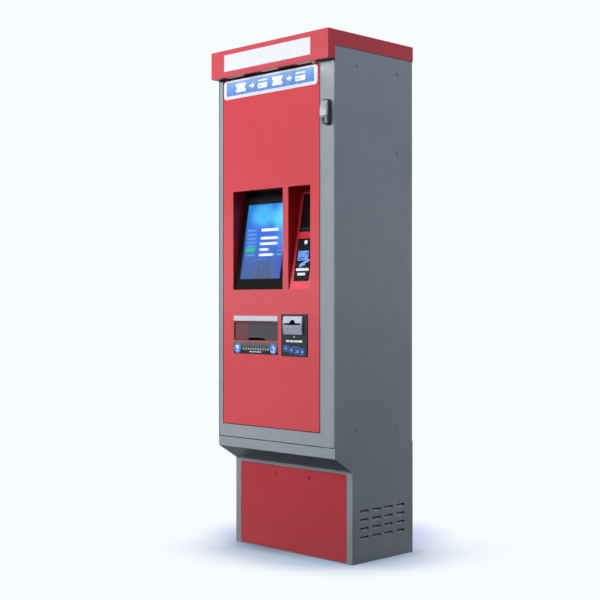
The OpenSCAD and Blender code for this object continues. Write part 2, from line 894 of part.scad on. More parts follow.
module power_supply() {
    z1 = lower_top + supply_h;
    vents = 8;
    color(zinc) at_front() difference() {
        block(supply_x0, supply_x0 + supply_w, machine_d0, rail_d1 - 20, lower_top, z1);
        for (i = [1 : vents]) {
            translate([supply_x0 + i * supply_w / (vents + 1), 0, 0])
                block(-3, 3, machine_d0 - 1, machine_d0 + 3, lower_top + supply_h * 0.2, z1 - supply_h * 0.2);
        }
    }
}

// Mains breaker: its toggle tips in a bore across the top of the block
module breaker_block() {
    d = machine_d0 + 40;
    cheek = breaker_w / 3;
    color(white) at_front() difference() {
        union() {
            block(breaker_x0, breaker_x0 + breaker_w, machine_d0, machine_d0 + 80, lower_top, toggle_z - 8);
            for (x = [breaker_x0, breaker_x0 + breaker_w - cheek]) {
                block(x, x + cheek, d - 16, d + 16, toggle_z - 8, toggle_z + 6);
            }
        }
        rod_x(breaker_x0 - 1, breaker_x0 + breaker_w + 1, d, toggle_z, toggle_r + run_fit);
    }
}

module breaker_toggle() {
    d = machine_d0 + 40;
    third = breaker_w / 3;
    x0 = breaker_x0 + third + free_fit;
    x1 = breaker_x0 + 2 * third - free_fit;
    color(black) at_front() {
        rod_x(breaker_x0, breaker_x0 + breaker_w, d, toggle_z, toggle_r);
        difference() {
            rod_x(x0, x1, d, toggle_z, 6.5);
            block(x0 - 1, x1 + 1, d - 4, d + 4, toggle_z + 5, toggle_z + 7);
        }
        block(x0, x1, d - 3, d + 3, toggle_z + 3, toggle_z + 18);
    }
}

module ticket_printer() {
    half = printer_w / 2;
    z1 = upper_top + printer_h;
    color(charcoal) at_front() difference() {
        block(printer_x - half, printer_x + half, machine_d0, machine_d0 + printer_d, upper_top, z1);
        block(printer_x - half + printer_wall, printer_x + half - printer_wall,
            machine_d0 - 1, platen_d + platen_r + 2, platen_z - platen_r - 2, z1 + 1);
        rod_x(printer_x - half - 1, printer_x + half + 1, platen_d, platen_z, journal_r + run_fit);
    }
}

module platen_roller() {
    half = printer_w / 2;
    inner = half - printer_wall - free_fit;
    color(black) at_front() {
        rod_x(printer_x - inner, printer_x + inner, platen_d, platen_z, platen_r);
        rod_x(printer_x - half, printer_x + half, platen_d, platen_z, journal_r);
    }
}

module roll_bracket() {
    half = roll_w / 2 + free_fit;
    cheek = 3;
    color(zinc) at_front() {
        for (side = [-1, 1]) translate([printer_x + side * (half + cheek / 2), 0, 0])
            block(-cheek / 2, cheek / 2, roll_d - 20, roll_d + 20, upper_top, roll_z + 20);
        rod_x(printer_x - half - cheek / 2, printer_x + half + cheek / 2, roll_d, roll_z, roll_pin_r);
    }
}

module ticket_roll() {
    half = roll_w / 2;
    color(white) at_front() difference() {
        rod_x(printer_x - half, printer_x + half, roll_d, roll_z, roll_r);
        rod_x(printer_x - half - 1, printer_x + half + 1, roll_d, roll_z, roll_pin_r + run_fit);
    }
}

module fan_housing() {
    half = fan_w / 2;
    arm = 4;
    color(black) at_front() difference() {
        union() {
            difference() {
                block(-half, half, fan_d0, fan_d1, fan_z - half, fan_z + half);
                rod_d(0, fan_z, fan_bore, fan_d0 - 1, fan_d1 + 1);
            }
            rod_d(0, fan_z, fan_hub, fan_d1 - 4, fan_d1);
            for (turn = [45, 135]) translate([0, 0, fan_z]) rotate([0, turn, 0])
                block(-fan_bore - 1, fan_bore + 1, fan_d1 - 4, fan_d1, -arm / 2, arm / 2);
            rod_d(0, fan_z, fan_pin_r, fan_d0 + 3, fan_d1);
        }
    }
}

module fan_rotor() {
    back = fan_d1 - 5;
    tip = fan_bore - 2;
    color(black) at_front() difference() {
        union() {
            rod_d(0, fan_z, fan_hub, fan_d0 + 1, back);
            for (i = [0 : fan_blades - 1]) translate([0, (fan_d0 + back) / 2, fan_z])
                rotate([0, i * 360 / fan_blades, 0]) rotate([35, 0, 0])
                    block(fan_hub - 2, tip - 4, -1, 1, -9, 9);
        }
        rod_d(0, fan_z, fan_pin_r + run_fit, fan_d0 + 2.5, fan_d1);
    }
}

module fascia_outline(grow, top) {
    translate([fascia_x0 - grow, fascia_z0 - grow])
        square([fascia_x1 - fascia_x0 + 2 * grow, top - fascia_z0 + grow]);
}

// Door pan: front stiles and rail, folded edges, and the ledge that the fascia rests on
module door_frame() {
    top = door_z1 - sheet;
    color(grey) at_front() difference() {
        union() {
            difference() {
                block(-door_x, door_x, 0, door_depth, door_z0, door_z1);
                block(-door_x + sheet, door_x - sheet, sheet, door_depth + 1, door_z0 + sheet, top);
                along_d(-1, sheet + 1) fascia_outline(groove, top);
            }
            difference() {
                along_d(sheet, 2 * sheet) fascia_outline(groove + seat_lap, top);
                along_d(sheet - 1, 2 * sheet + 1) fascia_outline(-fascia_seat, fascia_z1 - fascia_seat);
            }
        }
        for (z = [door_z0, top]) {
            rod_z(pivot_x, pivot_back, pivot_r + free_fit, z - 1, z + sheet + 1);
        }
        rod_z(handle_x + rod_off, rod_back, rod_r + free_fit, door_z0 - 1, door_z0 + sheet + 1);
        rod_z(handle_x - rod_off, rod_back, rod_r + free_fit, top - 1, door_z1 + 1);
        rod_d(handle_x, spindle_z, boss_r + seat_gap, -1, sheet + 1);
    }
}

module door_fascia() {
    color(red) at_front() difference() {
        along_d(0, sheet) fascia_outline(0, fascia_z1);
        block(screen_x - screen_w / 2, screen_x + screen_w / 2, -1, sheet + 1, recess_z0, recess_z1);
        block(card_x - card_w / 2, card_x + card_w / 2, -1, sheet + 1, recess_z0, recess_z1);
        block(tray_x - tray_w / 2, tray_x + tray_w / 2, -1, sheet + 1, tray_z0, tray_z1);
        snout_hole(sheet + 1);
    }
}

module door_sign_plate() {
    z1 = door_z1 - plate_drop;
    color(blue) at_front() along_d(-plate_t, 0)
        round_plate(plate_x - plate_w / 2, plate_x + plate_w / 2, z1 - plate_h, z1, plate_r);
}

module pivot_bushes() {
    half = bracket_w / 2;
    color(black) at_front() for (z = [door_z0 + sheet, door_z1 - sheet - bush_h]) difference() {
        block(pivot_x - half, pivot_x + half, bush_d0, bush_d1, z, z + bush_h);
        rod_z(pivot_x, pivot_back, pivot_r + run_fit, z - 1, z + bush_h + 1);
    }
}

// Reveal of a recess: side walls, ceiling and sill, cut off a given way behind the slope.
// The room inside stops on the slope, or passes it where the recess has no back of its own
module reveal(x, w, behind, past) {
    low = recess_z0 - sheet;
    high = recess_z1 + sheet;
    difference() {
        along_x(x - w / 2 - sheet, x + w / 2 + sheet, [
            [sheet, low], [sheet, high], [slope_d(high) + behind, high], [slope_d(low) + behind, low]]);
        along_x(x - w / 2, x + w / 2, [
            [-1, recess_z0], [-1, recess_z1],
            [slope_d(recess_z1) + past, recess_z1], [slope_d(recess_z0) + past, recess_z0]]);
    }
}

module screen_hood() {
    color(red) at_front() reveal(screen_x, screen_w, 0, 20);
}

module screen_block(lap, d0, d1) {
    half = screen_w / 2 + lap;
    block(screen_x - half, screen_x + half, d0, d1, -lap, slope_l + lap);
}

module touch_glass() {
    color(black) at_front() on_slope() screen_block(glass_lap, 0, glass_t);
}

module panel_block(grow, d1) {
    half_w = picture_w / 2 + panel_rim + grow;
    half_h = picture_h / 2 + panel_rim + grow;
    mid = slope_l / 2;
    block(screen_x - half_w, screen_x + half_w, glass_t, d1, mid - half_h, mid + half_h);
}

module display_panel() {
    color(blue) at_front() on_slope() panel_block(0, glass_t + panel_t);
}

module monitor_chassis() {
    back = glass_t + monitor_d;
    color(dark_grey) at_front() on_slope() difference() {
        screen_block(glass_lap, glass_t, back);
        panel_block(seat_gap, glass_t + panel_t + seat_gap);
    }
}

module pay_block(grow, d0, d1) {
    half = pay_w / 2 + grow;
    block(card_x - half, card_x + half, d0, d1, pay_s - grow, pay_s + pay_l + grow);
}

module card_hood() {
    color(red) at_front() difference() {
        reveal(card_x, card_w, wall_s, 0);
        on_slope() pay_block(0, -1, sheet + 1);
    }
}

module card_terminal() {
    color(black) at_front() on_slope() {
        pay_block(-seat_gap, 0, sheet);
        pay_block(pay_lap, sheet, sheet + pay_d);
    }
}

module card_label() {
    half = pay_w / 2;
    color(black) at_front() on_slope()
        block(card_x - half, card_x + half, -label_t, 0, label_s, label_s + label_l);
}

module tray_bin() {
    half = tray_w / 2;
    outer = half + sheet;
    back = sheet + bin_d;
    color(dark_grey) at_front() difference() {
        union() {
            block(tray_x - outer, tray_x + outer, sheet, back, tray_z0 - sheet, tray_z1 + sheet);
            rod_x(tray_x - outer - flap_boss, tray_x + outer + flap_boss, flap_d, flap_z, flap_r);
        }
        block(tray_x - half, tray_x + half, 0, back - sheet, tray_z0, tray_z1);
        block(tray_x - half, tray_x + half, bin_roof, back - sheet, tray_z0, tray_z1 + sheet + 1);
        rod_x(tray_x - outer - flap_boss - 1, tray_x + outer + flap_boss + 1,
            flap_d, flap_z, flap_pin_r + run_fit);
    }
}

module dispense_flap() {
    half = tray_w / 2 - flap_gap;
    reach = tray_w / 2 + sheet + flap_boss;
    foot = tray_z0 + flap_gap;
    low = notch_w / 2;
    high = low - notch_h * 1.5;
    color([0.25, 0.2, 0.2]) at_front() {
        rod_x(tray_x - half, tray_x + half, flap_d, flap_z, flap_r);
        rod_x(tray_x - reach, tray_x + reach, flap_d, flap_z, flap_pin_r);
        difference() {
            block(tray_x - half, tray_x + half, flap_d - flap_t / 2, flap_d + flap_t / 2, foot, flap_z);
            along_d(0, flap_d + flap_t) translate([tray_x, foot])
                polygon([[-low, -1], [low, -1], [high, notch_h], [-high, notch_h]]);
        }
    }
}

module tray_trim() {
    half = tray_w / 2;
    z0 = tray_z1 + sheet;
    color(steel) at_front() block(tray_x - half, tray_x + half, -trim_t, 0, z0, z0 + trim_h);
}

module tray_label() {
    half = tray_w / 2;
    z1 = tray_z0 - tray_rim;
    color(charcoal) at_front() block(tray_x - half, tray_x + half, -label_t, 0, z1 - tray_label_h, z1);
}

module snout_hole(d1) {
    w = snout_w / 2 + seat_gap;
    h = snout_h / 2 + seat_gap;
    block(bezel_x - w, bezel_x + w, -note_t - 1, d1, slot_z - h, slot_z + h);
}

module note_plate() {
    half = note_w / 2;
    color(charcoal) at_front() difference() {
        block(note_x - half, note_x + half, -note_t, 0, note_z0, note_z0 + note_h);
        snout_hole(1);
    }
}

// Bezel with a curved front, a slot and a thumb notch, and a snout through to the validator
module note_bezel() {
    half = bezel_w / 2;
    nose = note_t + bezel_out;
    mid = (bezel_z0 + bezel_z1) / 2;
    color(steel) at_front() difference() {
        union() {
            intersection() {
                block(bezel_x - half, bezel_x + half, -nose, -note_t, bezel_z0, bezel_z1);
                rod_x(bezel_x - half - 1, bezel_x + half + 1, bezel_r - nose, mid, bezel_r);
            }
            block(bezel_x - snout_w / 2, bezel_x + snout_w / 2, -note_t - 1, sheet,
                slot_z - snout_h / 2, slot_z + snout_h / 2);
        }
        block(bezel_x - slot_w / 2, bezel_x + slot_w / 2, -nose - 1, sheet + 1,
            slot_z - slot_h / 2, slot_z + slot_h / 2);
        intersection() {
            rod_d(bezel_x, slot_z, thumb_r, -nose - 1, thumb_d - nose);
            block(bezel_x - thumb_r, bezel_x + thumb_r, -nose - 1, thumb_d - nose,
                slot_z, slot_z + thumb_r);
        }
    }
}

// Validator behind the bezel, with a cradle at its rear for the cash box
module note_validator() {
    half = valid_w / 2;
    back = sheet + valid_d;
    color(charcoal) at_front() difference() {
        union() {
            block(bezel_x - half, bezel_x + half, sheet, back, valid_z0, valid_z0 + valid_h);
            block(bezel_x - half, bezel_x + half, back, back + cash_d, valid_z0, valid_z0 + valid_h / 3);
        }
        block(bezel_x - slot_w / 2, bezel_x + slot_w / 2, 0, sheet + slot_d,
            slot_z - slot_h / 2, slot_z + slot_h / 2);
        block(bezel_x - half + cradle_t, bezel_x + half - cradle_t, back, back + cash_d + 1,
            valid_z0 + cradle_t, valid_z0 + valid_h);
    }
}

module note_cash_box() {
    half = cash_w / 2;
    z0 = valid_z0 + cradle_t + seat_gap;
    color(dark_grey) at_front() difference() {
        block(bezel_x - half, bezel_x + half, cash_d0, cash_d0 + cash_d, z0, valid_z0 + valid_h - 6);
        block(bezel_x - 20, bezel_x + 20, cash_d0 + cash_d - 8, cash_d0 + cash_d + 1, z0 + 55, z0 + 75);
    }
}

module handle_escutcheon() {
    half = handle_w / 2;
    color(black) at_front() difference() {
        union() {
            along_d(-handle_out, 0)
                round_plate(handle_x - half, handle_x + half, handle_z0, handle_z1, handle_round);
            rod_d(handle_x, spindle_z, boss_r, -1, boss_d);
        }
        rod_d(handle_x, spindle_z, spindle_r + run_fit, -handle_out - 1, boss_d + 1);
        rod_d(handle_x, plug_z, plug_r + run_fit, -handle_out - 1, -4);
    }
}

// Lever with its spindle: the front bends back at both ends, and a window shows the lock plug
module handle_lever() {
    back = -handle_out - free_fit;
    nose = back - lever_t;
    foot = spindle_z - lever_l;
    top = spindle_z + lever_top;
    half = lever_w / 2;
    color(steel) at_front() {
        difference() {
            along_x(handle_x - half, handle_x + half, [
                [back, foot], [back, top], [back - 3, top], [nose + 1, spindle_z - 8],
                [nose, spindle_z - 22], [nose, spindle_z - lever_bend], [back - 3, foot]]);
            rod_d(handle_x, plug_z, plug_r + window_gap, nose - 1, back + 1);
        }
        rod_d(handle_x, spindle_z, spindle_r, back - 1, cam_d0 + cam_t + 1);
    }
}

module lock_plug() {
    face = -handle_out;
    color(brass_tone) at_front() difference() {
        rod_d(handle_x, plug_z, plug_r, face, -5);
        block(handle_x - 0.8, handle_x + 0.8, face - 1, face + 3, plug_z - 4, plug_z + 4);
    }
}

// Cam on the spindle: its two crank pins stand in the yokes of the rods
module lock_cam() {
    color(zinc) at_front() difference() {
        union() {
            rod_d(handle_x, spindle_z, crank_r + crank_pin_r + 2, cam_d0, cam_d0 + cam_t);
            for (s = [-1, 1]) {
                rod_d(handle_x + s * crank, spindle_z + s * crank, crank_pin_r,
                    rod_back - yoke_t / 2 - 1, cam_d0 + 1);
            }
        }
        rod_d(handle_x, spindle_z, spindle_r + run_fit, cam_d0 - 1, cam_d0 + cam_t + 1);
    }
}

// A rod's yoke: a plate with a slot across, in which the crank pin runs
module yoke(s) {
    z = spindle_z + s * crank;
    half_z = yoke_half_z + yoke_wall;
    x0 = min(s * (yoke_x0 - 1.5), s * (yoke_x1 + 3));
    x1 = max(s * (yoke_x0 - 1.5), s * (yoke_x1 + 3));
    cut0 = min(s * yoke_x0, s * yoke_x1);
    cut1 = max(s * yoke_x0, s * yoke_x1);
    d0 = rod_back - yoke_t / 2;
    translate([handle_x, 0, z]) difference() {
        block(x0, x1, d0, d0 + yoke_t, -half_z, half_z);
        block(cut0, cut1, d0 - 1, d0 + yoke_t + 1, -yoke_half_z, yoke_half_z);
    }
}

module upper_lock_rod() {
    z0 = spindle_z - crank + yoke_half_z + 1;
    color(steel) at_front() {
        yoke(-1);
        rod_z(handle_x - rod_off, rod_back, rod_r, z0, door_z1 - 1);
    }
}

module lower_lock_rod() {
    z1 = spindle_z + crank - yoke_half_z - 1;
    color(steel) at_front() {
        yoke(1);
        rod_z(handle_x + rod_off, rod_back, rod_r, door_z0 + 1, z1);
    }
}

module rod_guides() {
    half = rod_r + 5;
    low = [door_z0 + 40, (door_z0 + spindle_z) / 2, spindle_z - 70];
    high = [spindle_z + 70, door_z1 - 40];
    spots = concat(
        [for (z = low) [handle_x + rod_off, z]],
        [for (z = high) [handle_x - rod_off, z]]);
    color(black) at_front() for (s = spots) difference() {
        block(s[0] - half, s[0] + half, sheet, rod_back + half, s[1], s[1] + guide_h);
        rod_z(s[0], rod_back, rod_r + run_fit, s[1] - 1, s[1] + guide_h + 1);
    }
}

left_side_panel();
right_side_panel();
rear_panel();
plinth_rear_cover();
roof_panel();
base_plate();
cable_gland();
front_skirt();
plinth_front();
plinth_cover();
frame_posts();
frame_rails();
shelves();
lock_jamb();
lock_side_seal();
door_pivots();
side_screws();
canopy_shell();
canopy_soffit();
sign_diffuser();
sign_light_board();
canopy_lamps();
control_computer();
power_supply();
breaker_block();
ticket_printer();
roll_bracket();
fan_housing();
plinth_lock_left();
plinth_lock_right();
breaker_toggle();
platen_roller();
ticket_roll();
fan_rotor();
door_frame();
door_fascia();
door_sign_plate();
pivot_bushes();
screen_hood();
touch_glass();
display_panel();
monitor_chassis();
card_hood();
card_terminal();
card_label();
tray_bin();
tray_trim();
tray_label();
note_plate();
note_bezel();
note_validator();
handle_escutcheon();
rod_guides();
dispense_flap();
note_cash_box();
handle_lever();
lock_cam();
lock_plug();
upper_lock_rod();
lower_lock_rod();
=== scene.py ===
"""Looks of a free-standing ticket kiosk: paint, metal, plastic, glass, lit panels and printed signs."""
import math

import bmesh
import bpy
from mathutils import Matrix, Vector


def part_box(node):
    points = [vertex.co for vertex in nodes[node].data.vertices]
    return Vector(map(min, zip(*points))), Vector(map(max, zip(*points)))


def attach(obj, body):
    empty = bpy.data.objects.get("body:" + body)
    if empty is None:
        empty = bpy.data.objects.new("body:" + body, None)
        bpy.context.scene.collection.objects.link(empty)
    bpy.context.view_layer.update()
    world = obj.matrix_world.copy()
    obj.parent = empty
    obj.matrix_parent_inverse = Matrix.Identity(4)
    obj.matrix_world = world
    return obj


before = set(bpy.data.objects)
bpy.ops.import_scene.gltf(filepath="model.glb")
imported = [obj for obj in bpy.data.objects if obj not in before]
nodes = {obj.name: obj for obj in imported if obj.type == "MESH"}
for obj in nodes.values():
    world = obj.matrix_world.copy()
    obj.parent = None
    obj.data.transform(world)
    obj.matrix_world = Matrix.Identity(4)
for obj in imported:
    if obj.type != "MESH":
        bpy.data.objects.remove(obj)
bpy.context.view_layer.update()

MM = 0.001
# Places and sizes below are in millimetres
FRONT = -205.5  # the cabinet's front face, along Y
TILT = math.radians(9.5)  # lean of the recess backs
RECESS_FOOT = 5.0  # depth of the recess backs at their lower edge
RECESS_Z = 1040.0  # lower edge of the recesses
CANOPY_SIGN_X, CANOPY_SIGN_Z = -6.0, 1947.0  # middle of the lit sign
SLOT_X, SLOT_Z = 112.0, 906.0  # middle of the note slot
TRAY_X = -106.0  # middle of the ticket tray
ROLL_Y, ROLL_Z = 100.7, 1016.0  # axis of the ticket roll
SCREEN_LEFT, SCREEN_TOP, SCREEN_W, SCREEN_H = -209.3, 1386.6, 228.6, 300.6  # the lit picture


# Node boards

class Board:
    """Puts nodes into one tree and links them."""

    def __init__(self, tree):
        self.tree = tree

    def put(self, kind, feeds=None, **settings):
        node = self.tree.nodes.new(kind)
        for key, value in settings.items():
            setattr(node, key, value)
        for key, value in (feeds or {}).items():
            self.feed(node.inputs[key], value)
        return node

    def feed(self, socket, value):
        if isinstance(value, bpy.types.NodeSocket):
            self.tree.links.new(value, socket)
        else:
            socket.default_value = value

    def math(self, operation, a, b=0.0, clamp=False):
        return self.put("ShaderNodeMath", {0: a, 1: b}, operation=operation, use_clamp=clamp).outputs[0]

    def times(self, a, b, clamp=False):
        return self.math("MULTIPLY", a, b, clamp)

    def minus(self, a, b):
        return self.math("SUBTRACT", a, b)

    def square(self, value):
        return self.math("POWER", value, 2.0)

    def span(self, value, low, high, to_low=0.0, to_high=1.0):
        feeds = {"Value": value, "From Min": low, "From Max": high, "To Min": to_low, "To Max": to_high}
        return self.put("ShaderNodeMapRange", feeds, interpolation_type="SMOOTHSTEP").outputs[0]

    def fall(self, value, low, high):
        return self.span(value, low, high, 1.0, 0.0)

    def mix(self, share, a, b):
        return self.put("ShaderNodeMix", {0: share, 6: a, 7: b}, data_type="RGBA").outputs[2]

    def noise(self, place, scale, detail=2.0, rough=0.5):
        feeds = {"Vector": place, "Scale": scale, "Detail": detail, "Roughness": rough}
        return self.put("ShaderNodeTexNoise", feeds).outputs[0]

    def bands(self, place, scale):
        """Even stripes along X."""
        return self.put("ShaderNodeTexWave", {"Vector": place, "Scale": scale},
                        wave_type="BANDS", bands_direction="X").outputs["Fac"]

    def place(self):
        return self.put("ShaderNodeTexCoord").outputs["Object"]

    def axes(self, vector):
        return self.put("ShaderNodeSeparateXYZ", {0: vector}).outputs

    def stretch(self, vector, scale):
        """A place or a colour, multiplied part by part."""
        return self.put("ShaderNodeVectorMath", {0: vector, 1: scale}, operation="MULTIPLY").outputs[0]

    def group(self, tree, feeds):
        return self.put("ShaderNodeGroup", feeds, node_tree=tree).outputs


def rgb(r, g, b):
    """A colour as read on a screen, turned into the linear one that shaders take."""
    shares = [c / 255 for c in (r, g, b)]
    return tuple(s / 12.92 if s < 0.04 else ((s + 0.055) / 1.055) ** 2.4 for s in shares) + (1.0,)


def new_group(name, takes, gives):
    tree = bpy.data.node_groups.new(name, "ShaderNodeTree")
    for label, default in takes:
        kind = "NodeSocketFloat" if isinstance(default, float) else "NodeSocketColor"
        if isinstance(default, Vector):
            kind = "NodeSocketVector"
        socket = tree.interface.new_socket(label, in_out="INPUT", socket_type=kind)
        socket.default_value = default
    for label, kind in gives:
        tree.interface.new_socket(label, in_out="OUTPUT", socket_type="NodeSocket" + kind)
    board = Board(tree)
    source = board.put("NodeGroupInput").outputs
    result = board.put("NodeGroupOutput").inputs
    return tree, board, source, result


SKIN = [("Color", "Color"), ("Roughness", "Float"), ("Height", "Float")]  # what every surface group gives


def make_paint_film():
    """Powder coat: uneven tone over large areas, a fine grain, and soil near the floor that is also painted
    shade, darker towards the floor.
    """
    tree, b, take, give = new_group(
        "paint_film",
        [("Paint", rgb(128, 128, 128)), ("Shade", rgb(110, 110, 110)), ("Soil And Shade Tone", rgb(90, 88, 84)),
         ("Soil And Shade", 0.2), ("Gloss Low", 0.36), ("Gloss High", 0.52)],
        SKIN)
    place = b.place()
    broad = b.noise(place, 2.3, 4.0, 0.55)
    cloud = b.noise(place, 14.0, 3.0, 0.6)
    fine = b.noise(place, 820.0, 2.0, 0.6)
    tone = b.math("ADD", b.times(broad, 0.7), b.times(cloud, 0.3))
    color = b.mix(b.span(tone, 0.38, 0.64), take["Paint"], take["Shade"])
    flecks = b.span(fine, 0.60, 0.78)
    color = b.mix(b.times(flecks, 0.045), color, rgb(255, 255, 255))
    height = b.axes(place)[2]
    # Soil near the floor, which also serves as painted shade darkening the lowest part
    low = b.fall(height, 0.0, 0.28)
    patch = b.span(b.noise(b.stretch(place, (6.0, 6.0, 4.0)), 2.0, 5.0, 0.6), 0.36, 0.72, 0.55, 1.0)
    soil_and_shade = b.times(b.times(low, patch), take["Soil And Shade"], True)
    b.feed(give["Color"], b.mix(soil_and_shade, color, take["Soil And Shade Tone"]))
    gloss = b.math("ADD", b.times(fine, 0.45), b.times(cloud, 0.55))
    b.feed(give["Roughness"], b.span(gloss, 0.3, 0.7, take["Gloss Low"], take["Gloss High"]))
    b.feed(give["Height"], fine)
    return tree


def make_edge_rub():
    """Paint rubbed thin along folded edges, broken up along their length."""
    tree, b, take, give = new_group(
        "edge_rub",
        [("Color", rgb(128, 128, 128)), ("Rubbed", rgb(190, 190, 190)), ("Width", 0.0015), ("Amount", 0.4)],
        [("Color", "Color")])
    bevel = b.put("ShaderNodeBevel", {"Radius": take["Width"]}, samples=4)
    flat = b.put("ShaderNodeNewGeometry").outputs["Normal"]
    same = b.put("ShaderNodeVectorMath", {0: bevel.outputs[0], 1: flat}, operation="DOT_PRODUCT")
    edge = b.fall(same.outputs["Value"], 0.80, 0.995)
    breaks = b.span(b.noise(b.place(), 38.0, 4.0, 0.7), 0.36, 0.66)
    mask = b.times(b.times(edge, breaks), take["Amount"], True)
    b.feed(give["Color"], b.mix(mask, take["Color"], take["Rubbed"]))
    return tree


def make_brushed_metal():
    """Fine lines along one direction, with slow changes of tone across them."""
    tree, b, take, give = new_group(
        "brushed_metal",
        [("Metal", rgb(190, 190, 195)), ("Stretch", Vector((8.0, 900.0, 900.0))), ("Line Depth", 0.2),
         ("Gloss Low", 0.22), ("Gloss High", 0.42)],
        SKIN)
    place = b.place()
    lines = b.noise(b.stretch(place, take["Stretch"]), 1.0, 3.0, 0.6)
    slow = b.noise(place, 16.0, 3.0)
    dark = b.mix(0.35, take["Metal"], rgb(60, 62, 66))
    share = b.times(b.span(lines, 0.35, 0.68), take["Line Depth"])
    color = b.mix(share, take["Metal"], dark)
    b.feed(give["Color"], b.mix(b.times(b.span(slow, 0.4, 0.7), 0.12), color, rgb(245, 246, 250)))
    b.feed(give["Roughness"], b.span(lines, 0.3, 0.7, take["Gloss Low"], take["Gloss High"]))
    b.feed(give["Height"], lines)
    return tree


def make_moulded_skin():
    """Moulded plastic: spark-eroded grain, a little polish where hands touch, faint dust."""
    tree, b, take, give = new_group(
        "moulded_skin",
        [("Plastic", rgb(40, 40, 42)), ("Grain", 1400.0), ("Grain Tone", 0.1), ("Dust", 0.06),
         ("Gloss Low", 0.38), ("Gloss High", 0.58)],
        SKIN)
    place = b.place()
    grain = b.put("ShaderNodeTexVoronoi", {"Vector": place, "Scale": take["Grain"]}).outputs["Distance"]
    slow = b.noise(place, 22.0, 4.0, 0.6)
    dust = b.times(b.span(slow, 0.45, 0.75), take["Dust"])
    color = b.mix(b.times(grain, take["Grain Tone"]), take["Plastic"], rgb(120, 122, 126))
    b.feed(give["Color"], b.mix(dust, color, rgb(176, 172, 166)))
    b.feed(give["Roughness"], b.span(slow, 0.3, 0.7, take["Gloss Low"], take["Gloss High"]))
    b.feed(give["Height"], grain)
    return tree


def make_print_film():
    """Printed film: a slight tone shift over its height, ink speckle and a soft waviness. On the card label the
    shift is painted shade, on the tray label painted sheen.
    """
    tree, b, take, give = new_group(
        "print_film",
        [("Upper", rgb(120, 170, 230)), ("Lower", rgb(80, 140, 215)), ("Low Z", 1.8), ("High Z", 1.9)],
        SKIN)
    place = b.place()
    rise = b.span(b.axes(place)[2], take["Low Z"], take["High Z"])
    speckle = b.noise(place, 1500.0, 1.0)
    wave = b.noise(place, 30.0)
    color = b.mix(rise, take["Lower"], take["Upper"])
    paler = b.stretch(color, (1.25, 1.25, 1.25))
    color = b.mix(b.times(b.span(speckle, 0.5, 0.8), 0.5), color, paler)
    b.feed(give["Color"], b.mix(b.times(b.span(wave, 0.4, 0.7), 0.06), color, rgb(20, 24, 40)))
    b.feed(give["Roughness"], b.span(wave, 0.3, 0.7, 0.24, 0.36))
    b.feed(give["Height"], wave)
    return tree


def make_picture_bar():
    """A soft-edged bar on a flat picture: 1 inside, 0 outside."""
    tree, b, take, give = new_group(
        "picture_bar",
        [("U", 0.0), ("V", 0.0), ("Left", 0.0), ("Right", 1.0), ("Top", 0.0), ("Bottom", 1.0), ("Soft", 0.004)],
        [("Mask", "Float")])
    inside = None
    for a, c in (("U", "Left"), ("Right", "U"), ("V", "Top"), ("Bottom", "V")):
        gap = b.minus(take[a], take[c])
        edge = b.math("DIVIDE", gap, take["Soft"], True)
        inside = edge if inside is None else b.math("MINIMUM", inside, edge)
    b.feed(give["Mask"], inside)
    return tree


PAINT_FILM = make_paint_film()
EDGE_RUB = make_edge_rub()
BRUSHED_METAL = make_brushed_metal()
MOULDED_SKIN = make_moulded_skin()
PRINT_FILM = make_print_film()
PICTURE_BAR = make_picture_bar()


# Finishes

COAT_GLOSS = (0.12, 0.18)  # lowest and highest roughness of the powder coat
EDGE_WEAR = 0.35


def fresh_board(owner):
    """An emptied node tree of a material or world."""
    owner.use_nodes = True
    owner.node_tree.nodes.clear()
    return Board(owner.node_tree)


def new_finish(name):
    """An empty material with one Principled shader."""
    material = bpy.data.materials.new(name)
    board = fresh_board(material)
    shader = board.put("ShaderNodeBsdfPrincipled")
    output = board.put("ShaderNodeOutputMaterial")
    board.feed(output.inputs["Surface"], shader.outputs[0])
    return material, board, shader.inputs


def fix(shader, values):
    """Sets plain values on the shader's own sockets."""
    for socket, value in values.items():
        shader[socket].default_value = value


def relief(board, shader, height, strength, distance):
    bump = board.put("ShaderNodeBump", {"Height": height, "Strength": strength, "Distance": distance})
    board.feed(shader["Normal"], bump.outputs[0])


def dress(board, shader, skin, color, strength, distance=0.0003):
    """Feeds a colour, and a skin's gloss and relief, to the shader."""
    board.feed(shader["Base Color"], color)
    board.feed(shader["Roughness"], skin["Roughness"])
    relief(board, shader, skin["Height"], strength, distance)


def powder_coat(name, paint, shade, rubbed, soil_and_shade=0.25, shine=0.9, dust=None, bounce=None):
    """Powder coat; dust is the paler tone, with its lower and upper height, of faces that lean back, which is
    painted light on the low part of the recess backs, and bounce is the tone that light thrown on to other
    faces takes from the paint."""
    material, b, shader = new_finish(name)
    film = b.group(PAINT_FILM, {"Paint": paint, "Shade": shade, "Soil And Shade": soil_and_shade,
                                "Gloss Low": COAT_GLOSS[0], "Gloss High": COAT_GLOSS[1]})
    color = b.group(EDGE_RUB, {"Color": film["Color"], "Rubbed": rubbed, "Amount": EDGE_WEAR})["Color"]
    # Painted light: faces that lean back are paler low down and darker under the hood above
    if dust:
        tone, low_z, high_z = dust
        facing = b.axes(b.put("ShaderNodeNewGeometry").outputs["Normal"])[2]
        height = b.axes(b.place())[2]
        painted_light_share = b.times(b.span(facing, 0.05, 0.14), b.fall(height, low_z, high_z))
        color = b.mix(painted_light_share, color, tone)
    if bounce:
        path = b.put("ShaderNodeLightPath").outputs
        color = b.mix(b.math("MAXIMUM", path["Is Diffuse Ray"], path["Is Glossy Ray"]), color, bounce)
    dress(b, shader, film, color, 0.05, 0.0004)
    fix(shader, {"Specular IOR Level": shine})
    return material


def brushed(name, metal, stretch, gloss, metallic=1.0):
    material, b, shader = new_finish(name)
    skin = b.group(BRUSHED_METAL, {"Metal": metal, "Stretch": stretch,
                                   "Gloss Low": gloss[0], "Gloss High": gloss[1]})
    dress(b, shader, skin, skin["Color"], 0.06)
    fix(shader, {"Metallic": metallic})
    return material


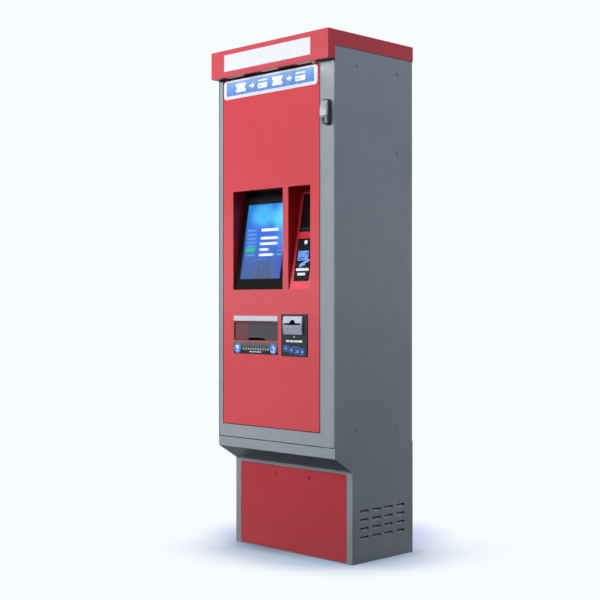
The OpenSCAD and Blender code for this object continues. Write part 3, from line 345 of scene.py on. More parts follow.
def moulded(name, plastic, grain=1400.0, dust=0.06, gloss=(0.38, 0.58), bump=0.1, grain_tone=0.1, shine=0.25):
    material, b, shader = new_finish(name)
    skin = b.group(MOULDED_SKIN, {"Plastic": plastic, "Grain": grain, "Grain Tone": grain_tone, "Dust": dust,
                                  "Gloss Low": gloss[0], "Gloss High": gloss[1]})
    dress(b, shader, skin, skin["Color"], bump)
    fix(shader, {"Specular IOR Level": shine})
    return material


def printed(name, upper, lower, low_z, high_z, glow=0.0, coat=0.3, gloss=0.5):
    """Printed film whose tone changes from low_z to high_z; with a glow it is lit from behind."""
    material, b, shader = new_finish(name)
    film = b.group(PRINT_FILM, {"Upper": upper, "Lower": lower, "Low Z": low_z, "High Z": high_z})
    dress(b, shader, film, film["Color"], 0.03, 0.0005)
    if glow:
        b.feed(shader["Emission Color"], film["Color"])
        fix(shader, {"Emission Strength": glow})
    fix(shader, {"Coat Weight": coat, "Coat Roughness": 0.12, "Specular IOR Level": gloss})
    return material


def opal_sign():
    """Opal panel lit by rows of lamps behind it."""
    material, b, shader = new_finish("opal_sign")
    place = b.place()
    lamps = b.bands(place, 7.85)
    off_middle = b.math("ABSOLUTE", b.minus(b.axes(place)[2], CANOPY_SIGN_Z * MM))
    middle = b.fall(off_middle, 0.012, 0.034)
    lit = b.math("ADD", b.times(b.times(lamps, middle), 0.06), 0.94)
    cloud = b.span(b.noise(place, 60.0), 0.4, 0.7)
    tone = b.mix(cloud, rgb(238, 242, 255), rgb(244, 247, 255))
    b.feed(shader["Base Color"], b.mix(cloud, rgb(157, 160, 168), rgb(160, 163, 170)))
    b.feed(shader["Emission Color"], b.mix(lit, rgb(205, 214, 240), tone))
    fix(shader, {"Emission Strength": 0.5, "Roughness": 0.4, "Specular IOR Level": 0.3})
    return material


def lamp_lens():
    """Ribbed clear cover over a row of small lamps."""
    material, b, shader = new_finish("lamp_lens")
    ribs = b.bands(b.place(), 90.0)
    tone = b.mix(ribs, rgb(196, 170, 162), rgb(226, 204, 196))
    b.feed(shader["Base Color"], tone)
    b.feed(shader["Emission Color"], tone)
    fix(shader, {"Emission Strength": 0.28, "Roughness": 0.25})
    relief(b, shader, ribs, 0.2, 0.0008)
    return material


def touch_glass():
    """Clear hardened glass with a few faint finger smears."""
    material, b, shader = new_finish("touch_glass")
    smear = b.noise(b.stretch(b.place(), (26.0, 26.0, 9.0)), 1.0, 5.0, 0.6)
    b.feed(shader["Roughness"], b.span(smear, 0.45, 0.75, 0.015, 0.07))
    fix(shader, {"Base Color": (0.86, 0.9, 0.92, 1.0), "Transmission Weight": 1.0, "IOR": 1.5})
    relief(b, shader, smear, 0.01, 0.0004)
    return material


def smoked_flap():
    """Smoked clear plastic, a little see-through, with rubbed haze near its foot and a painted red cast on its
    left third for the tray's red side wall seen through it.
    """
    material, b, shader = new_finish("smoked_flap")
    place = b.place()
    x, _, z = b.axes(place)
    haze = b.noise(b.stretch(place, (30.0, 30.0, 8.0)), 1.0, 5.0, 0.65)
    foot = b.fall(z, 0.845, 0.885)
    rub = b.times(b.span(haze, 0.42, 0.7), b.math("ADD", b.times(foot, 0.2), 0.15))
    # Painted red cast on the left third, standing for the red side wall seen through the flap
    left = b.fall(x, -0.175, -0.125)
    clear = b.mix(left, rgb(88, 89, 96), rgb(130, 82, 88))
    b.feed(shader["Base Color"], b.mix(rub, clear, rgb(112, 112, 116)))
    b.feed(shader["Roughness"], b.span(rub, 0.0, 0.7, 0.10, 0.24))
    b.feed(shader["Alpha"], b.span(rub, 0.0, 0.8, 0.66, 0.76))
    fix(shader, {"Specular IOR Level": 0.2})
    return material


def cast_silver():
    """Fine-cast silver face, darker below the slot as a painted reflection, with a black throat."""
    material, b, shader = new_finish("cast_silver")
    place = b.place()
    x, _, z = b.axes(place)
    skin = b.group(BRUSHED_METAL, {"Metal": rgb(222, 226, 242), "Stretch": Vector((700.0, 700.0, 700.0)),
                                   "Gloss Low": 0.34, "Gloss High": 0.48})
    cast = b.span(b.noise(b.stretch(place, (420.0, 420.0, 300.0)), 1.0, 3.0, 0.55), 0.36, 0.66, 0.45, 0.8)
    # Painted reflection: the curved face is duller below the slot, where it mirrors less light
    low = b.span(z, (SLOT_Z - 10.0) * MM, (SLOT_Z + 10.0) * MM, 1.0, 0.2)
    face = b.mix(b.times(cast, low), skin["Color"], rgb(114, 118, 148))
    half_w, half_h = 43.6, 2.6  # of the throat
    throat = b.group(PICTURE_BAR, {"U": x, "Left": (SLOT_X - half_w) * MM, "Right": (SLOT_X + half_w) * MM,
                                   "V": z, "Top": (SLOT_Z - half_h) * MM, "Bottom": (SLOT_Z + half_h) * MM,
                                   "Soft": 0.0002})["Mask"]
    dress(b, shader, skin, b.mix(throat, face, rgb(6, 6, 7)), 0.1)
    fix(shader, {"Metallic": 0.4})
    return material


def lever_metal():
    """Silver lever, with a darker panel round its key plug."""
    material, b, shader = new_finish("lever_metal")
    skin = b.group(BRUSHED_METAL, {"Metal": rgb(226, 231, 248), "Stretch": Vector((3200.0, 3200.0, 90.0)),
                                   "Gloss Low": 0.26, "Gloss High": 0.40})
    panel = b.fall(b.axes(b.place())[2], 1.6826, 1.6832)
    color = b.mix(b.times(panel, 0.75), skin["Color"], rgb(128, 133, 146))
    dress(b, shader, skin, color, 0.06)
    fix(shader, {"Metallic": 0.6})
    return material


def tray_lining():
    """Grey lining of the tray, with side walls in the door's red."""
    material, b, shader = new_finish("tray_lining")
    film = b.group(PAINT_FILM, {"Paint": rgb(120, 124, 130), "Shade": rgb(104, 108, 114), "Soil And Shade": 0.0})
    place = b.place()
    off_middle = b.math("ABSOLUTE", b.minus(b.axes(place)[0], TRAY_X * MM))
    side = b.span(off_middle, 0.1262, 0.1268)
    cloud = b.span(b.noise(place, 12.0, 3.0, 0.6), 0.35, 0.65)
    red = b.mix(cloud, rgb(208, 66, 76), rgb(192, 58, 68))
    dress(b, shader, film, b.mix(side, film["Color"], red), 0.1, 0.0004)
    return material


def wound_paper():
    """Edges of wound paper: close rings on the roll's ends, smooth round its face."""
    material, b, shader = new_finish("wound_paper")
    _, y, z = b.axes(b.place())
    from_y = b.minus(y, ROLL_Y * MM)
    from_z = b.minus(z, ROLL_Z * MM)
    radius = b.math("SQRT", b.math("ADD", b.square(from_y), b.square(from_z)))
    rings = b.put("ShaderNodeTexNoise", {"W": b.times(radius, 2600.0), "Scale": 1.0, "Detail": 2.0},
                  noise_dimensions="1D").outputs[0]
    b.feed(shader["Base Color"], b.mix(b.span(rings, 0.35, 0.65), rgb(214, 210, 200), rgb(238, 236, 230)))
    b.feed(shader["Roughness"], b.span(rings, 0.3, 0.7, 0.75, 0.9))
    relief(b, shader, rings, 0.2, 0.0003)
    return material


def screen_picture():
    """Lit picture: a blue wash with a column of rows, a few entry bars and two small keys."""
    material, b, shader = new_finish("screen_picture")
    place = b.place()
    x, _, z = b.axes(place)
    u = b.math("DIVIDE", b.minus(x, SCREEN_LEFT * MM), SCREEN_W * MM)
    v = b.math("DIVIDE", b.minus(SCREEN_TOP * MM, z), SCREEN_H * MM)

    def bar(left, right, top, bottom, soft=0.006):
        feeds = {"U": u, "V": v, "Left": left, "Right": right, "Top": top, "Bottom": bottom, "Soft": soft}
        return b.group(PICTURE_BAR, feeds)["Mask"]

    def any_of(masks):
        result = masks[0]
        for mask in masks[1:]:
            result = b.math("MAXIMUM", result, mask)
        return result

    wash = b.mix(b.span(v, 0.0, 0.45), rgb(42, 120, 212), rgb(60, 110, 212))
    wash = b.mix(b.span(v, 0.55, 0.9), wash, rgb(76, 102, 156))
    pools = [(0.40, 0.17, 0.40, 0.20, 0.68, rgb(84, 206, 250)),
             (0.94, 0.20, 0.40, 0.24, 0.95, rgb(96, 212, 252)),
             (0.98, 0.46, 0.28, 0.24, 0.6, rgb(84, 164, 234)),
             (0.52, 0.92, 0.40, 0.20, 0.6, rgb(84, 92, 108)),
             (1.00, 0.86, 0.22, 0.26, 0.5, rgb(62, 84, 214))]
    for at_u, at_v, wide, tall, share, color in pools:
        du = b.math("DIVIDE", b.minus(u, at_u), wide)
        dv = b.math("DIVIDE", b.minus(v, at_v), tall)
        reach = b.math("ADD", b.square(du), b.square(dv))
        wash = b.mix(b.times(b.fall(reach, 0.0, 1.0), share), wash, color)
    cloud = b.noise(b.stretch(place, (24.0, 24.0, 30.0)), 1.0, 4.0, 0.6)
    wash = b.mix(b.times(b.span(cloud, 0.40, 0.68), 0.22), wash, rgb(34, 84, 196))
    beams = b.noise(b.stretch(place, (62.0, 62.0, 7.0)), 1.0)
    low = b.times(b.span(v, 0.55, 0.78), b.span(beams, 0.46, 0.64))
    wash = b.mix(b.times(low, 0.4), wash, rgb(88, 116, 186))
    rows = any_of([bar(0.03, 0.27, top, top + 0.035) for top in (0.345, 0.40, 0.455, 0.505, 0.555, 0.675)])
    wash = b.mix(b.times(rows, 0.42), wash, rgb(128, 188, 226))
    wash = b.mix(bar(0.02, 0.258, 0.590, 0.656), wash, rgb(52, 192, 128))
    entries = any_of([bar(0.386, 0.808, 0.343, 0.385), bar(0.386, 0.802, 0.453, 0.493),
                      bar(0.38, 0.803, 0.527, 0.568), bar(0.383, 0.595, 0.604, 0.644),
                      bar(0.383, 0.73, 0.675, 0.714)])
    wash = b.mix(entries, wash, rgb(248, 250, 255))
    wash = b.mix(bar(0.829, 0.93, 0.633, 0.656), wash, rgb(178, 110, 220))
    wash = b.mix(bar(0.824, 0.945, 0.682, 0.712), wash, rgb(60, 188, 190))
    wash = b.mix(b.times(bar(0.28, 0.58, 0.744, 0.762), 0.4), wash, rgb(120, 140, 200))
    inside = bar(-0.017, 0.983, 0.0133, 1.0123, 0.003)
    b.feed(shader["Emission Color"], b.mix(inside, (0.008, 0.008, 0.009, 1.0), wash))
    b.feed(shader["Base Color"], b.mix(inside, (0.006, 0.006, 0.007, 1.0), rgb(20, 24, 40)))
    fix(shader, {"Emission Strength": 1.25, "Roughness": 0.5})
    return material


def payment_window():
    """Black window of the payment terminal, with a dim teal line low down on its face."""
    material, b, shader = new_finish("payment_window")
    skin = b.group(MOULDED_SKIN, {"Plastic": rgb(10, 9, 9), "Grain Tone": 0.02, "Dust": 0.01,
                                  "Gloss Low": 0.06, "Gloss High": 0.16})
    x, y, z = b.axes(b.place())
    face = b.times(b.minus(z, RECESS_Z * MM), math.tan(TILT))
    behind = b.minus(y, b.math("ADD", face, (FRONT + RECESS_FOOT) * MM))
    feeds = {"U": x, "V": z, "Left": 0.106, "Right": 0.169, "Top": 1.266, "Bottom": 1.278, "Soft": 0.003}
    line = b.times(b.group(PICTURE_BAR, feeds)["Mask"], b.fall(behind, 0.003, 0.004))
    b.feed(shader["Base Color"], skin["Color"])
    b.feed(shader["Roughness"], skin["Roughness"])
    b.feed(shader["Emission Color"], b.mix(line, (0.0, 0.0, 0.0, 1.0), rgb(20, 66, 70)))
    fix(shader, {"Emission Strength": 0.6, "Specular IOR Level": 0.2})
    return material


SATIN_STEEL = brushed("satin_steel", rgb(216, 218, 226), Vector((16.0, 900.0, 900.0)), (0.24, 0.40))
SCREW_STEEL = brushed("screw_steel", rgb(132, 137, 146), Vector((600.0, 600.0, 600.0)), (0.3, 0.5),
                      metallic=0.3)
SLOT_BLACK = moulded("slot_black", rgb(7, 7, 8), grain=900.0, dust=0.0, gloss=(0.7, 0.85), grain_tone=0.02,
                     shine=0.08)
SEAL_RUBBER = moulded("seal_rubber", rgb(30, 30, 31), grain=500.0, dust=0.12, gloss=(0.7, 0.85), bump=0.2)
SIGN_WHITE = printed("sign_white", rgb(214, 221, 238), rgb(210, 217, 235), 1.80, 1.89)
SIGN_BLUE = printed("sign_blue", rgb(112, 158, 212), rgb(80, 128, 204), 1.82, 1.88)
# The card label's black is darker towards the top: painted shade under the recess hood
LABEL_BLACK = printed("label_black", rgb(20, 22, 28), rgb(31, 33, 35), 1.07, 1.24, coat=0.0, gloss=0.25)
MARK_BLUE = printed("mark_blue", rgb(96, 148, 232), rgb(80, 134, 222), 0.78, 1.24, coat=0.1, gloss=0.4)
MARK_DEEP = printed("mark_deep", rgb(52, 70, 132), rgb(42, 58, 112), 0.79, 0.83, coat=0.1, gloss=0.4)
MARK_PALE = printed("mark_pale", rgb(126, 164, 232), rgb(120, 158, 228), 0.78, 1.24)
MARK_WHITE = printed("mark_white", rgb(226, 231, 243), rgb(222, 227, 241), 0.78, 1.90)
GLASS_PRINT = moulded("glass_print", rgb(23, 24, 25), grain=2600.0, dust=0.0, gloss=(0.10, 0.16), bump=0.01,
                      grain_tone=0.01, shine=0.3)
LAMP_DOT = printed("lamp_dot", rgb(206, 222, 250), rgb(160, 192, 246), 1.205, 1.225, glow=0.15)

FINISHES = {
    # Soil near the floor is partly painted shade on these coats, most on grey_coat
    powder_coat("grey_coat", rgb(150, 157, 167), rgb(144, 151, 161), rgb(190, 195, 202), soil_and_shade=0.38, shine=0.3):
        ["left_side_panel", "right_side_panel", "rear_panel", "plinth_rear_cover", "roof_panel", "door_frame"],
    powder_coat("skirt_grey", rgb(150, 157, 166), rgb(144, 151, 160), rgb(190, 195, 202), shine=0.05):
        ["front_skirt"],
    # A darker copy of the cabinet grey: painted shade under the overhang
    powder_coat("plinth_grey_painted_shade", rgb(140, 146, 154), rgb(134, 140, 148), rgb(184, 189, 196), shine=0.2):
        ["plinth_front"],
    powder_coat("red_coat", rgb(207, 58, 69), rgb(201, 54, 65), rgb(232, 140, 144), soil_and_shade=0.12, shine=1.0):
        ["door_fascia"],
    # A paler copy of the door red: painted sheen on the canopy front
    powder_coat("canopy_red_painted_sheen", rgb(206, 72, 82), rgb(200, 68, 78), rgb(232, 144, 148), soil_and_shade=0.0, shine=0.8):
        ["canopy_shell"],
    # The recess backs are paler low down: painted light
    powder_coat("reveal_red", rgb(200, 50, 60), rgb(192, 46, 56), rgb(224, 132, 136), soil_and_shade=0.0, shine=0.12,
                dust=(rgb(226, 88, 98), 1.06, 1.17)):
        ["screen_hood", "card_hood"],
    # A darker copy of the door red: painted shade under the overhang
    powder_coat("plinth_red_painted_shade", rgb(181, 58, 67), rgb(175, 54, 63), rgb(220, 130, 134), soil_and_shade=0.1, shine=0.15,
                bounce=rgb(86, 83, 85)):
        ["plinth_cover", "plinth_lock_left", "plinth_lock_right"],
    powder_coat("dark_coat", rgb(58, 50, 50), rgb(46, 40, 40), rgb(96, 92, 92), soil_and_shade=0.0): ["base_plate"],
    # A darker copy of the canopy red: painted shade under the canopy
    powder_coat("soffit_red_painted_shade", rgb(168, 50, 54), rgb(160, 46, 50), rgb(232, 144, 148), soil_and_shade=0.0, shine=0.5):
        ["canopy_soffit"],
    brushed("zinc_sheet", rgb(176, 180, 186), Vector((30.0, 30.0, 420.0)), (0.34, 0.52)):
        ["frame_posts", "frame_rails", "shelves", "lock_jamb", "roll_bracket", "lock_cam", "door_pivots"],
    brushed("trim_silver", rgb(226, 230, 242), Vector((16.0, 900.0, 900.0)), (0.28, 0.42), metallic=0.5):
        ["tray_trim"],
    SATIN_STEEL: ["upper_lock_rod", "lower_lock_rod"],
    cast_silver(): ["note_bezel"],
    lever_metal(): ["handle_lever"],
    SCREW_STEEL: ["side_screws"],
    brushed("nickel_plug", rgb(176, 180, 190), Vector((900.0, 40.0, 900.0)), (0.3, 0.45), metallic=0.45):
        ["lock_plug"],
    moulded("black_plastic", rgb(26, 27, 29)):
        ["cable_gland", "fan_housing", "fan_rotor", "breaker_toggle", "rod_guides", "pivot_bushes"],
    moulded("escutcheon_grey", rgb(68, 72, 79)): ["handle_escutcheon"],
    moulded("charcoal_plastic", rgb(62, 65, 70)): ["control_computer", "ticket_printer", "note_validator"],
    moulded("plate_charcoal", rgb(48, 50, 53), grain=2200.0, dust=0.04, gloss=(0.4, 0.55), shine=0.12):
        ["note_plate"],
    moulded("grey_plastic", rgb(112, 115, 120)): ["power_supply", "note_cash_box"],
    moulded("chassis_black", rgb(44, 45, 46), grain=1800.0, dust=0.0, gloss=(0.5, 0.62)):
        ["monitor_chassis"],
    moulded("pale_plastic", rgb(214, 214, 212), grain=1000.0, dust=0.04): ["breaker_block", "sign_light_board"],
    SEAL_RUBBER: ["lock_side_seal", "platen_roller"],
    SIGN_WHITE: ["door_sign_plate"],
    LABEL_BLACK: ["card_label"],
    # The tray label is lighter towards the top: painted sheen
    printed("tray_print", rgb(102, 104, 106), rgb(43, 45, 47), 0.790, 0.832, coat=0.0, gloss=0.1):
        ["tray_label"],
    opal_sign(): ["sign_diffuser"],
    lamp_lens(): ["canopy_lamps"],
    touch_glass(): ["touch_glass"],
    screen_picture(): ["display_panel"],
    payment_window(): ["card_terminal"],
    smoked_flap(): ["dispense_flap"],
    tray_lining(): ["tray_bin"],
    wound_paper(): ["ticket_roll"],
}
for finish, names in FINISHES.items():
    for name in names:
        slots = nodes[name].data.materials
        slots.clear()
        slots.append(finish)


def soften(name, width):
    """Rounds a node's edges a little, as folded sheet and moulded plastic are."""
    node = nodes[name]
    weld = node.modifiers.new("join_faces", "WELD")
    weld.merge_threshold = 0.00002
    flat = node.modifiers.new("whole_faces", "DECIMATE")
    flat.decimate_type = "DISSOLVE"
    flat.angle_limit = math.radians(0.5)
    bevel = node.modifiers.new("soft_edges", "BEVEL")
    bevel.width = width * MM
    bevel.segments = 2
    bevel.limit_method = "ANGLE"
    bevel.angle_limit = math.radians(35)
    smooth = node.modifiers.new("even_shading", "WEIGHTED_NORMAL")
    smooth.keep_sharp = False
    smooth.weight = 90


for name, width in {
    "canopy_shell": 0.8, "door_fascia": 0.6, "door_frame": 0.7, "front_skirt": 0.7, "plinth_front": 0.6,
    "plinth_cover": 0.6, "screen_hood": 0.6, "card_hood": 0.6, "handle_escutcheon": 1.6, "handle_lever": 1.8,
    "note_plate": 0.8, "note_bezel": 1.2, "tray_trim": 0.6, "tray_label": 0.4, "card_label": 0.4,
    "door_sign_plate": 0.5, "dispense_flap": 0.6, "control_computer": 1.0, "power_supply": 1.0,
    "ticket_printer": 1.2, "note_validator": 1.2, "note_cash_box": 1.5, "breaker_block": 1.0,
    "breaker_toggle": 0.8, "cable_gland": 0.8, "monitor_chassis": 1.2, "plinth_rear_cover": 0.6,
    "rear_panel": 0.5,
}.items():
    soften(name, width)


# Flat printed shapes, drawn in millimetres and set on a plate

def on_front(x, z, proud):
    return Vector((x * MM, (FRONT - proud) * MM, z * MM))


def on_slope(x, s, proud):
    """A point on the leaning recess back: s runs up the slope from the recess's lower edge."""
    y = FRONT + RECESS_FOOT + s * math.sin(TILT) - proud * math.cos(TILT)
    z = RECESS_Z + s * math.cos(TILT) + proud * math.sin(TILT)
    return Vector((x * MM, y * MM, z * MM))


def round_box(x, z, w, h, r, steps=6):
    """Outline of a rounded box about its middle."""
    points = []
    for cx, cz, start in ((1, 1, 0), (-1, 1, 90), (-1, -1, 180), (1, -1, 270)):
        for i in range(steps + 1):
            a = math.radians(start + 90 * i / steps)
            points.append((x + cx * (w / 2 - r) + r * math.cos(a), z + cz * (h / 2 - r) + r * math.sin(a)))
    return points


def disc(x, z, r, steps=40):
    return [(x + r * math.cos(2 * math.pi * i / steps), z + r * math.sin(2 * math.pi * i / steps))
            for i in range(steps)]


def turned(points, x, z, degrees):
    """Points turned about a middle."""
    cos, sin = math.cos(math.radians(degrees)), math.sin(math.radians(degrees))
    return [(x + (px - x) * cos - (pz - z) * sin, z + (px - x) * sin + (pz - z) * cos) for px, pz in points]


def arrow(x, z, w, h):
    """Plain arrow pointing down."""
    return [(x - w * 0.18, z + h / 2), (x - w * 0.18, z), (x - w / 2, z), (x, z - h / 2),
            (x + w / 2, z), (x + w * 0.18, z), (x + w * 0.18, z + h / 2)]


def chevron(x, z, w, h, t):
    """Plain pointer to the right."""
    return [(x - w / 2, z + h / 2), (x - w / 2 + t, z + h / 2), (x + w / 2, z), (x - w / 2 + t, z - h / 2),
            (x - w / 2, z - h / 2), (x + w / 2 - t, z)]


def ticket(x, z, w, h):
    """Ticket outline with a bite out of each end."""
    left, right, low, high = x - w / 2, x + w / 2, z - h / 2, z + h / 2
    bite = h * 0.2
    arc = [(bite * math.cos(math.radians(a)), bite * math.sin(math.radians(a))) for a in range(-90, 91, 15)]
    return ([(left, low), (right, low)] + [(right - ax, z + az) for ax, az in arc]
            + [(right, high), (left, high)] + [(left + ax, z - az) for ax, az in arc])


def join_loops(bm, first, second):
    """Faces between two closed runs of points."""
    for i in range(len(first)):
        j = (i + 1) % len(first)
        bm.faces.new((first[i], first[j], second[j], second[i]))


def set_out(name, data):
    """A new object in the scene."""
    thing = bpy.data.objects.new(name, data)
    bpy.context.scene.collection.objects.link(thing)
    return thing


def add_piece(name, bm, finish, body):
    """Makes one visible piece from drawn faces; it rides a body and bears a paint slot."""
    mesh = bpy.data.meshes.new(name)
    bmesh.ops.recalc_face_normals(bm, faces=bm.faces)
    bm.to_mesh(mesh)
    bm.free()
    piece = set_out(name, mesh)
    mesh.materials.append(finish)
    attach(piece, body)


def print_piece(name, shapes, place, low, high, finish, body="door"):
    """One printed layer: each outline becomes a thin raised shape from low to high above its plate."""
    bm = bmesh.new()
    for outline in shapes:
        top = [bm.verts.new(place(px, pz, high)) for px, pz in outline]
        foot = [bm.verts.new(place(px, pz, low)) for px, pz in outline]
        bm.faces.new(top)
        bm.faces.new(list(reversed(foot)))
        join_loops(bm, foot, top)
    add_piece(name, bm, finish, body)


def ring_piece(name, outer, inner, place, low, high, finish, body):
    """A raised frame between two outlines with the same number of points."""
    bm = bmesh.new()
    loops = [[bm.verts.new(place(px, pz, proud)) for px, pz in outline]
             for outline, proud in ((outer, high), (inner, high), (inner, low), (outer, low))]
    for i in range(len(loops)):
        join_loops(bm, loops[i], loops[(i + 1) % len(loops)])
    add_piece(name, bm, finish, body)


PAN_HEAD = ((1.0, 0.0), (1.0, 0.35), (0.94, 0.62), (0.82, 0.84), (0.64, 1.0))  # shares of radius and height
SOCKET_WIDTH = 0.4  # middle to flat, as a share of the radius
SOCKET_DEPTHS = (1.0, 0.3)  # rim and foot of its walls, as shares of the height
SOCKET_POINT = 0.15
HEAD_SIDES = 24


def screw_heads(name, spots, radius, proud, place):
    """Low pan heads with a hexagon socket."""
    bm = bmesh.new()
    turns = [2 * math.pi * i / HEAD_SIDES for i in range(HEAD_SIDES)]
    sixth = math.pi / 3
    hexagon = [SOCKET_WIDTH * radius / math.cos((a + sixth / 2) % sixth - sixth / 2) for a in turns]
    for x, z in spots:
        outlines = [([share * radius] * HEAD_SIDES, rise) for share, rise in PAN_HEAD]
        outlines += [(hexagon, rise) for rise in SOCKET_DEPTHS]
        rings = [[bm.verts.new(place(x + r * math.cos(a), z + r * math.sin(a), rise * proud))
                  for r, a in zip(reach, turns)] for reach, rise in outlines]
        for low, high in zip(rings, rings[1:]):
            join_loops(bm, low, high)
        point = bm.verts.new(place(x, z, SOCKET_POINT * proud))
        for i in range(HEAD_SIDES):
            bm.faces.new((rings[-1][i], rings[-1][(i + 1) % HEAD_SIDES], point))
        bm.faces.new(list(reversed(rings[0])))
    add_piece(name, bm, SCREW_STEEL, "cabinet")


# Screws of the rear panel, the plinth's rear cover and the canopy's top
rear_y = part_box("rear_panel")[1][1] / MM
cover_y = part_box("plinth_rear_cover")[1][1] / MM
top_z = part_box("canopy_shell")[1][2] / MM
rear_spots = [(x, z) for x in (-306, 306) for z in (475, 820, 1165, 1510, 1855)] + [(0, 475), (0, 1855)]
cover_spots = [(x, z) for x in (-300, 0, 300) for z in (28, 412)]
canopy_spots = [(x, y) for x in (-300, 0, 300) for y in (-190, 215)]
screw_heads("rear_panel_screws", rear_spots, 5.0, 2.4,
            lambda x, z, proud: Vector((x * MM, (rear_y + proud) * MM, z * MM)))
screw_heads("rear_cover_screws", cover_spots, 5.0, 2.4,
            lambda x, z, proud: Vector((x * MM, (cover_y + proud) * MM, z * MM)))
screw_heads("canopy_screws", canopy_spots, 4.0, 1.2,
            lambda x, y, proud: Vector((x * MM, y * MM, (top_z + proud) * MM)))

# Sockets and a small lamp on the control computer's front
computer_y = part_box("control_computer")[0][1]
PORTS = [(-262, 541, 17, 15), (-238, 541, 17, 15), (-210, 538, 15, 8), (-190, 538, 15, 8), (-210, 549, 15, 8),
         (-190, 549, 15, 8), (-162, 540, 24, 10), (-128, 540, 24, 10)]
ROUND_PORT = (-90, 541)
RUN_LAMP = (-52, 541)
RIM = 0.8  # how far the sockets' rims stand out


def on_computer(x, z, proud):
    return Vector((x * MM, computer_y - proud * MM, z * MM))


print_piece("computer_ports",
            [round_box(x, z, w, h, 1.2) for x, z, w, h in PORTS]
            + [disc(*RUN_LAMP, 9, 28), disc(*ROUND_PORT, 6, 24)],
            on_computer, 0.0, RIM, SATIN_STEEL, "cabinet")
print_piece("computer_port_insides",
            [round_box(x, z, w - 4, h - 3.6, 0.8) for x, z, w, h in PORTS] + [disc(*ROUND_PORT, 4, 24)],
            on_computer, RIM, RIM + 0.2, SLOT_BLACK, "cabinet")
print_piece("computer_lamp", [disc(*RUN_LAMP, 3.2, 20)], on_computer, RIM, RIM + 0.5, LAMP_DOT,
            "cabinet")

# Door sign: blue field in its white border, with plain signs for a ticket, an arrow and a card
PLATE = 2.0  # how far the plate stands out
FIELD = PLATE + 0.3
MARKS = PLATE + 0.5
SIGN_Z = 1849.5
signs, cuts = [], []
for x in (-190.0, 20.0):
    arrow_x, card_x = x + 66, x + 126
    signs += [ticket(x, SIGN_Z, 58, 34), turned(arrow(arrow_x, SIGN_Z, 26, 30), arrow_x, SIGN_Z, 90),
              round_box(card_x, SIGN_Z, 54, 34, 5)]
    cuts += [round_box(x + 8, SIGN_Z + i * 10, 3, 6, 1.4) for i in (-1, 0, 1)]
    cuts += [round_box(card_x, SIGN_Z + 7, 54, 7, 0.5), round_box(card_x - 12, SIGN_Z - 7.5, 16, 4, 1.5)]
print_piece("door_sign_field", [round_box(-28, SIGN_Z, 494, 55, 5)], on_front, PLATE, FIELD, SIGN_BLUE)
print_piece("door_sign_marks", signs, on_front, FIELD, MARKS, MARK_WHITE)
print_piece("door_sign_cuts", cuts, on_front, MARKS, MARKS + 0.1, SIGN_BLUE)

# Bead round the lit sign
CANOPY_FACE = 39.0  # how far the canopy stands out
ring_piece("sign_bead", round_box(CANOPY_SIGN_X, CANOPY_SIGN_Z, 484, 66, 2.5),
           round_box(CANOPY_SIGN_X, CANOPY_SIGN_Z, 477, 59, 1.5),
           on_front, CANOPY_FACE, CANOPY_FACE + 0.9, SIGN_WHITE, "cabinet")

# Card label: lamp, plain card sign, a strip under it and two plain bars
INK = 0.25  # height of a printed layer
LABEL = 1.5  # how far the labels stand out
print_piece("card_label_lamp", [disc(142, 181.5, 8.5)], on_slope, LABEL, LABEL + 0.8, LAMP_DOT)
print_piece("card_label_card", [round_box(135, 129.5, 56, 38, 4)], on_slope, LABEL, LABEL + INK, MARK_BLUE)
print_piece("card_label_strip", [turned(round_box(147, 103, 56, 9, 4), 147, 103, 22),
                                 turned(round_box(136, 92, 34, 7, 3), 136, 92, 22)],
            on_slope, LABEL, LABEL + INK, MARK_PALE)
print_piece("card_label_chip", [round_box(155.5, 138, 7, 9, 1.5), round_box(128, 122, 32, 2.4, 1),
                                round_box(124, 115.5, 24, 2.4, 1)],
            on_slope, LABEL + INK, LABEL + 0.4, LABEL_BLACK)
print_piece("card_label_bars", [round_box(139, 75.5, 68, 10, 2), round_box(136, 57.5, 42, 10, 2)],
            on_slope, LABEL, LABEL + INK, MARK_WHITE)

# Black border printed round the picture on the touch glass
ring_piece("screen_border", round_box(-95, 199.8, 285, 398.5, 1), round_box(-98, 195.8, 233, 308.5, 1.5),
           on_slope, 0.02, 0.10, GLASS_PRINT, "door")

# Tray label: two discs with plain signs and a run of pointers between them
DISC_X = -210.7
print_piece("tray_label_discs", [disc(DISC_X, 806, 19.5), disc(-4, 807, 19.5)],
            on_front, LABEL, LABEL + INK, MARK_BLUE)
print_piece("tray_label_signs", [ticket(DISC_X, 812, 19, 11), arrow(DISC_X, 797.5, 14, 13),
                                 turned(arrow(-1, 810, 13, 20), -1, 810, 35), round_box(-6, 796, 18, 4, 1.5)],
            on_front, LABEL + INK, LABEL + 0.45, MARK_WHITE)
pointers = [chevron(-175 + 14.2 * i, 804.5, 7.5, 8.5, 3.2) for i in range(11)]
pointers += [round_box(-134 + 14.5 * i, 793.5, 10, 4.2, 1.5) for i in range(5)]
print_piece("tray_label_pointers", pointers, on_front, LABEL, LABEL + INK, MARK_WHITE)

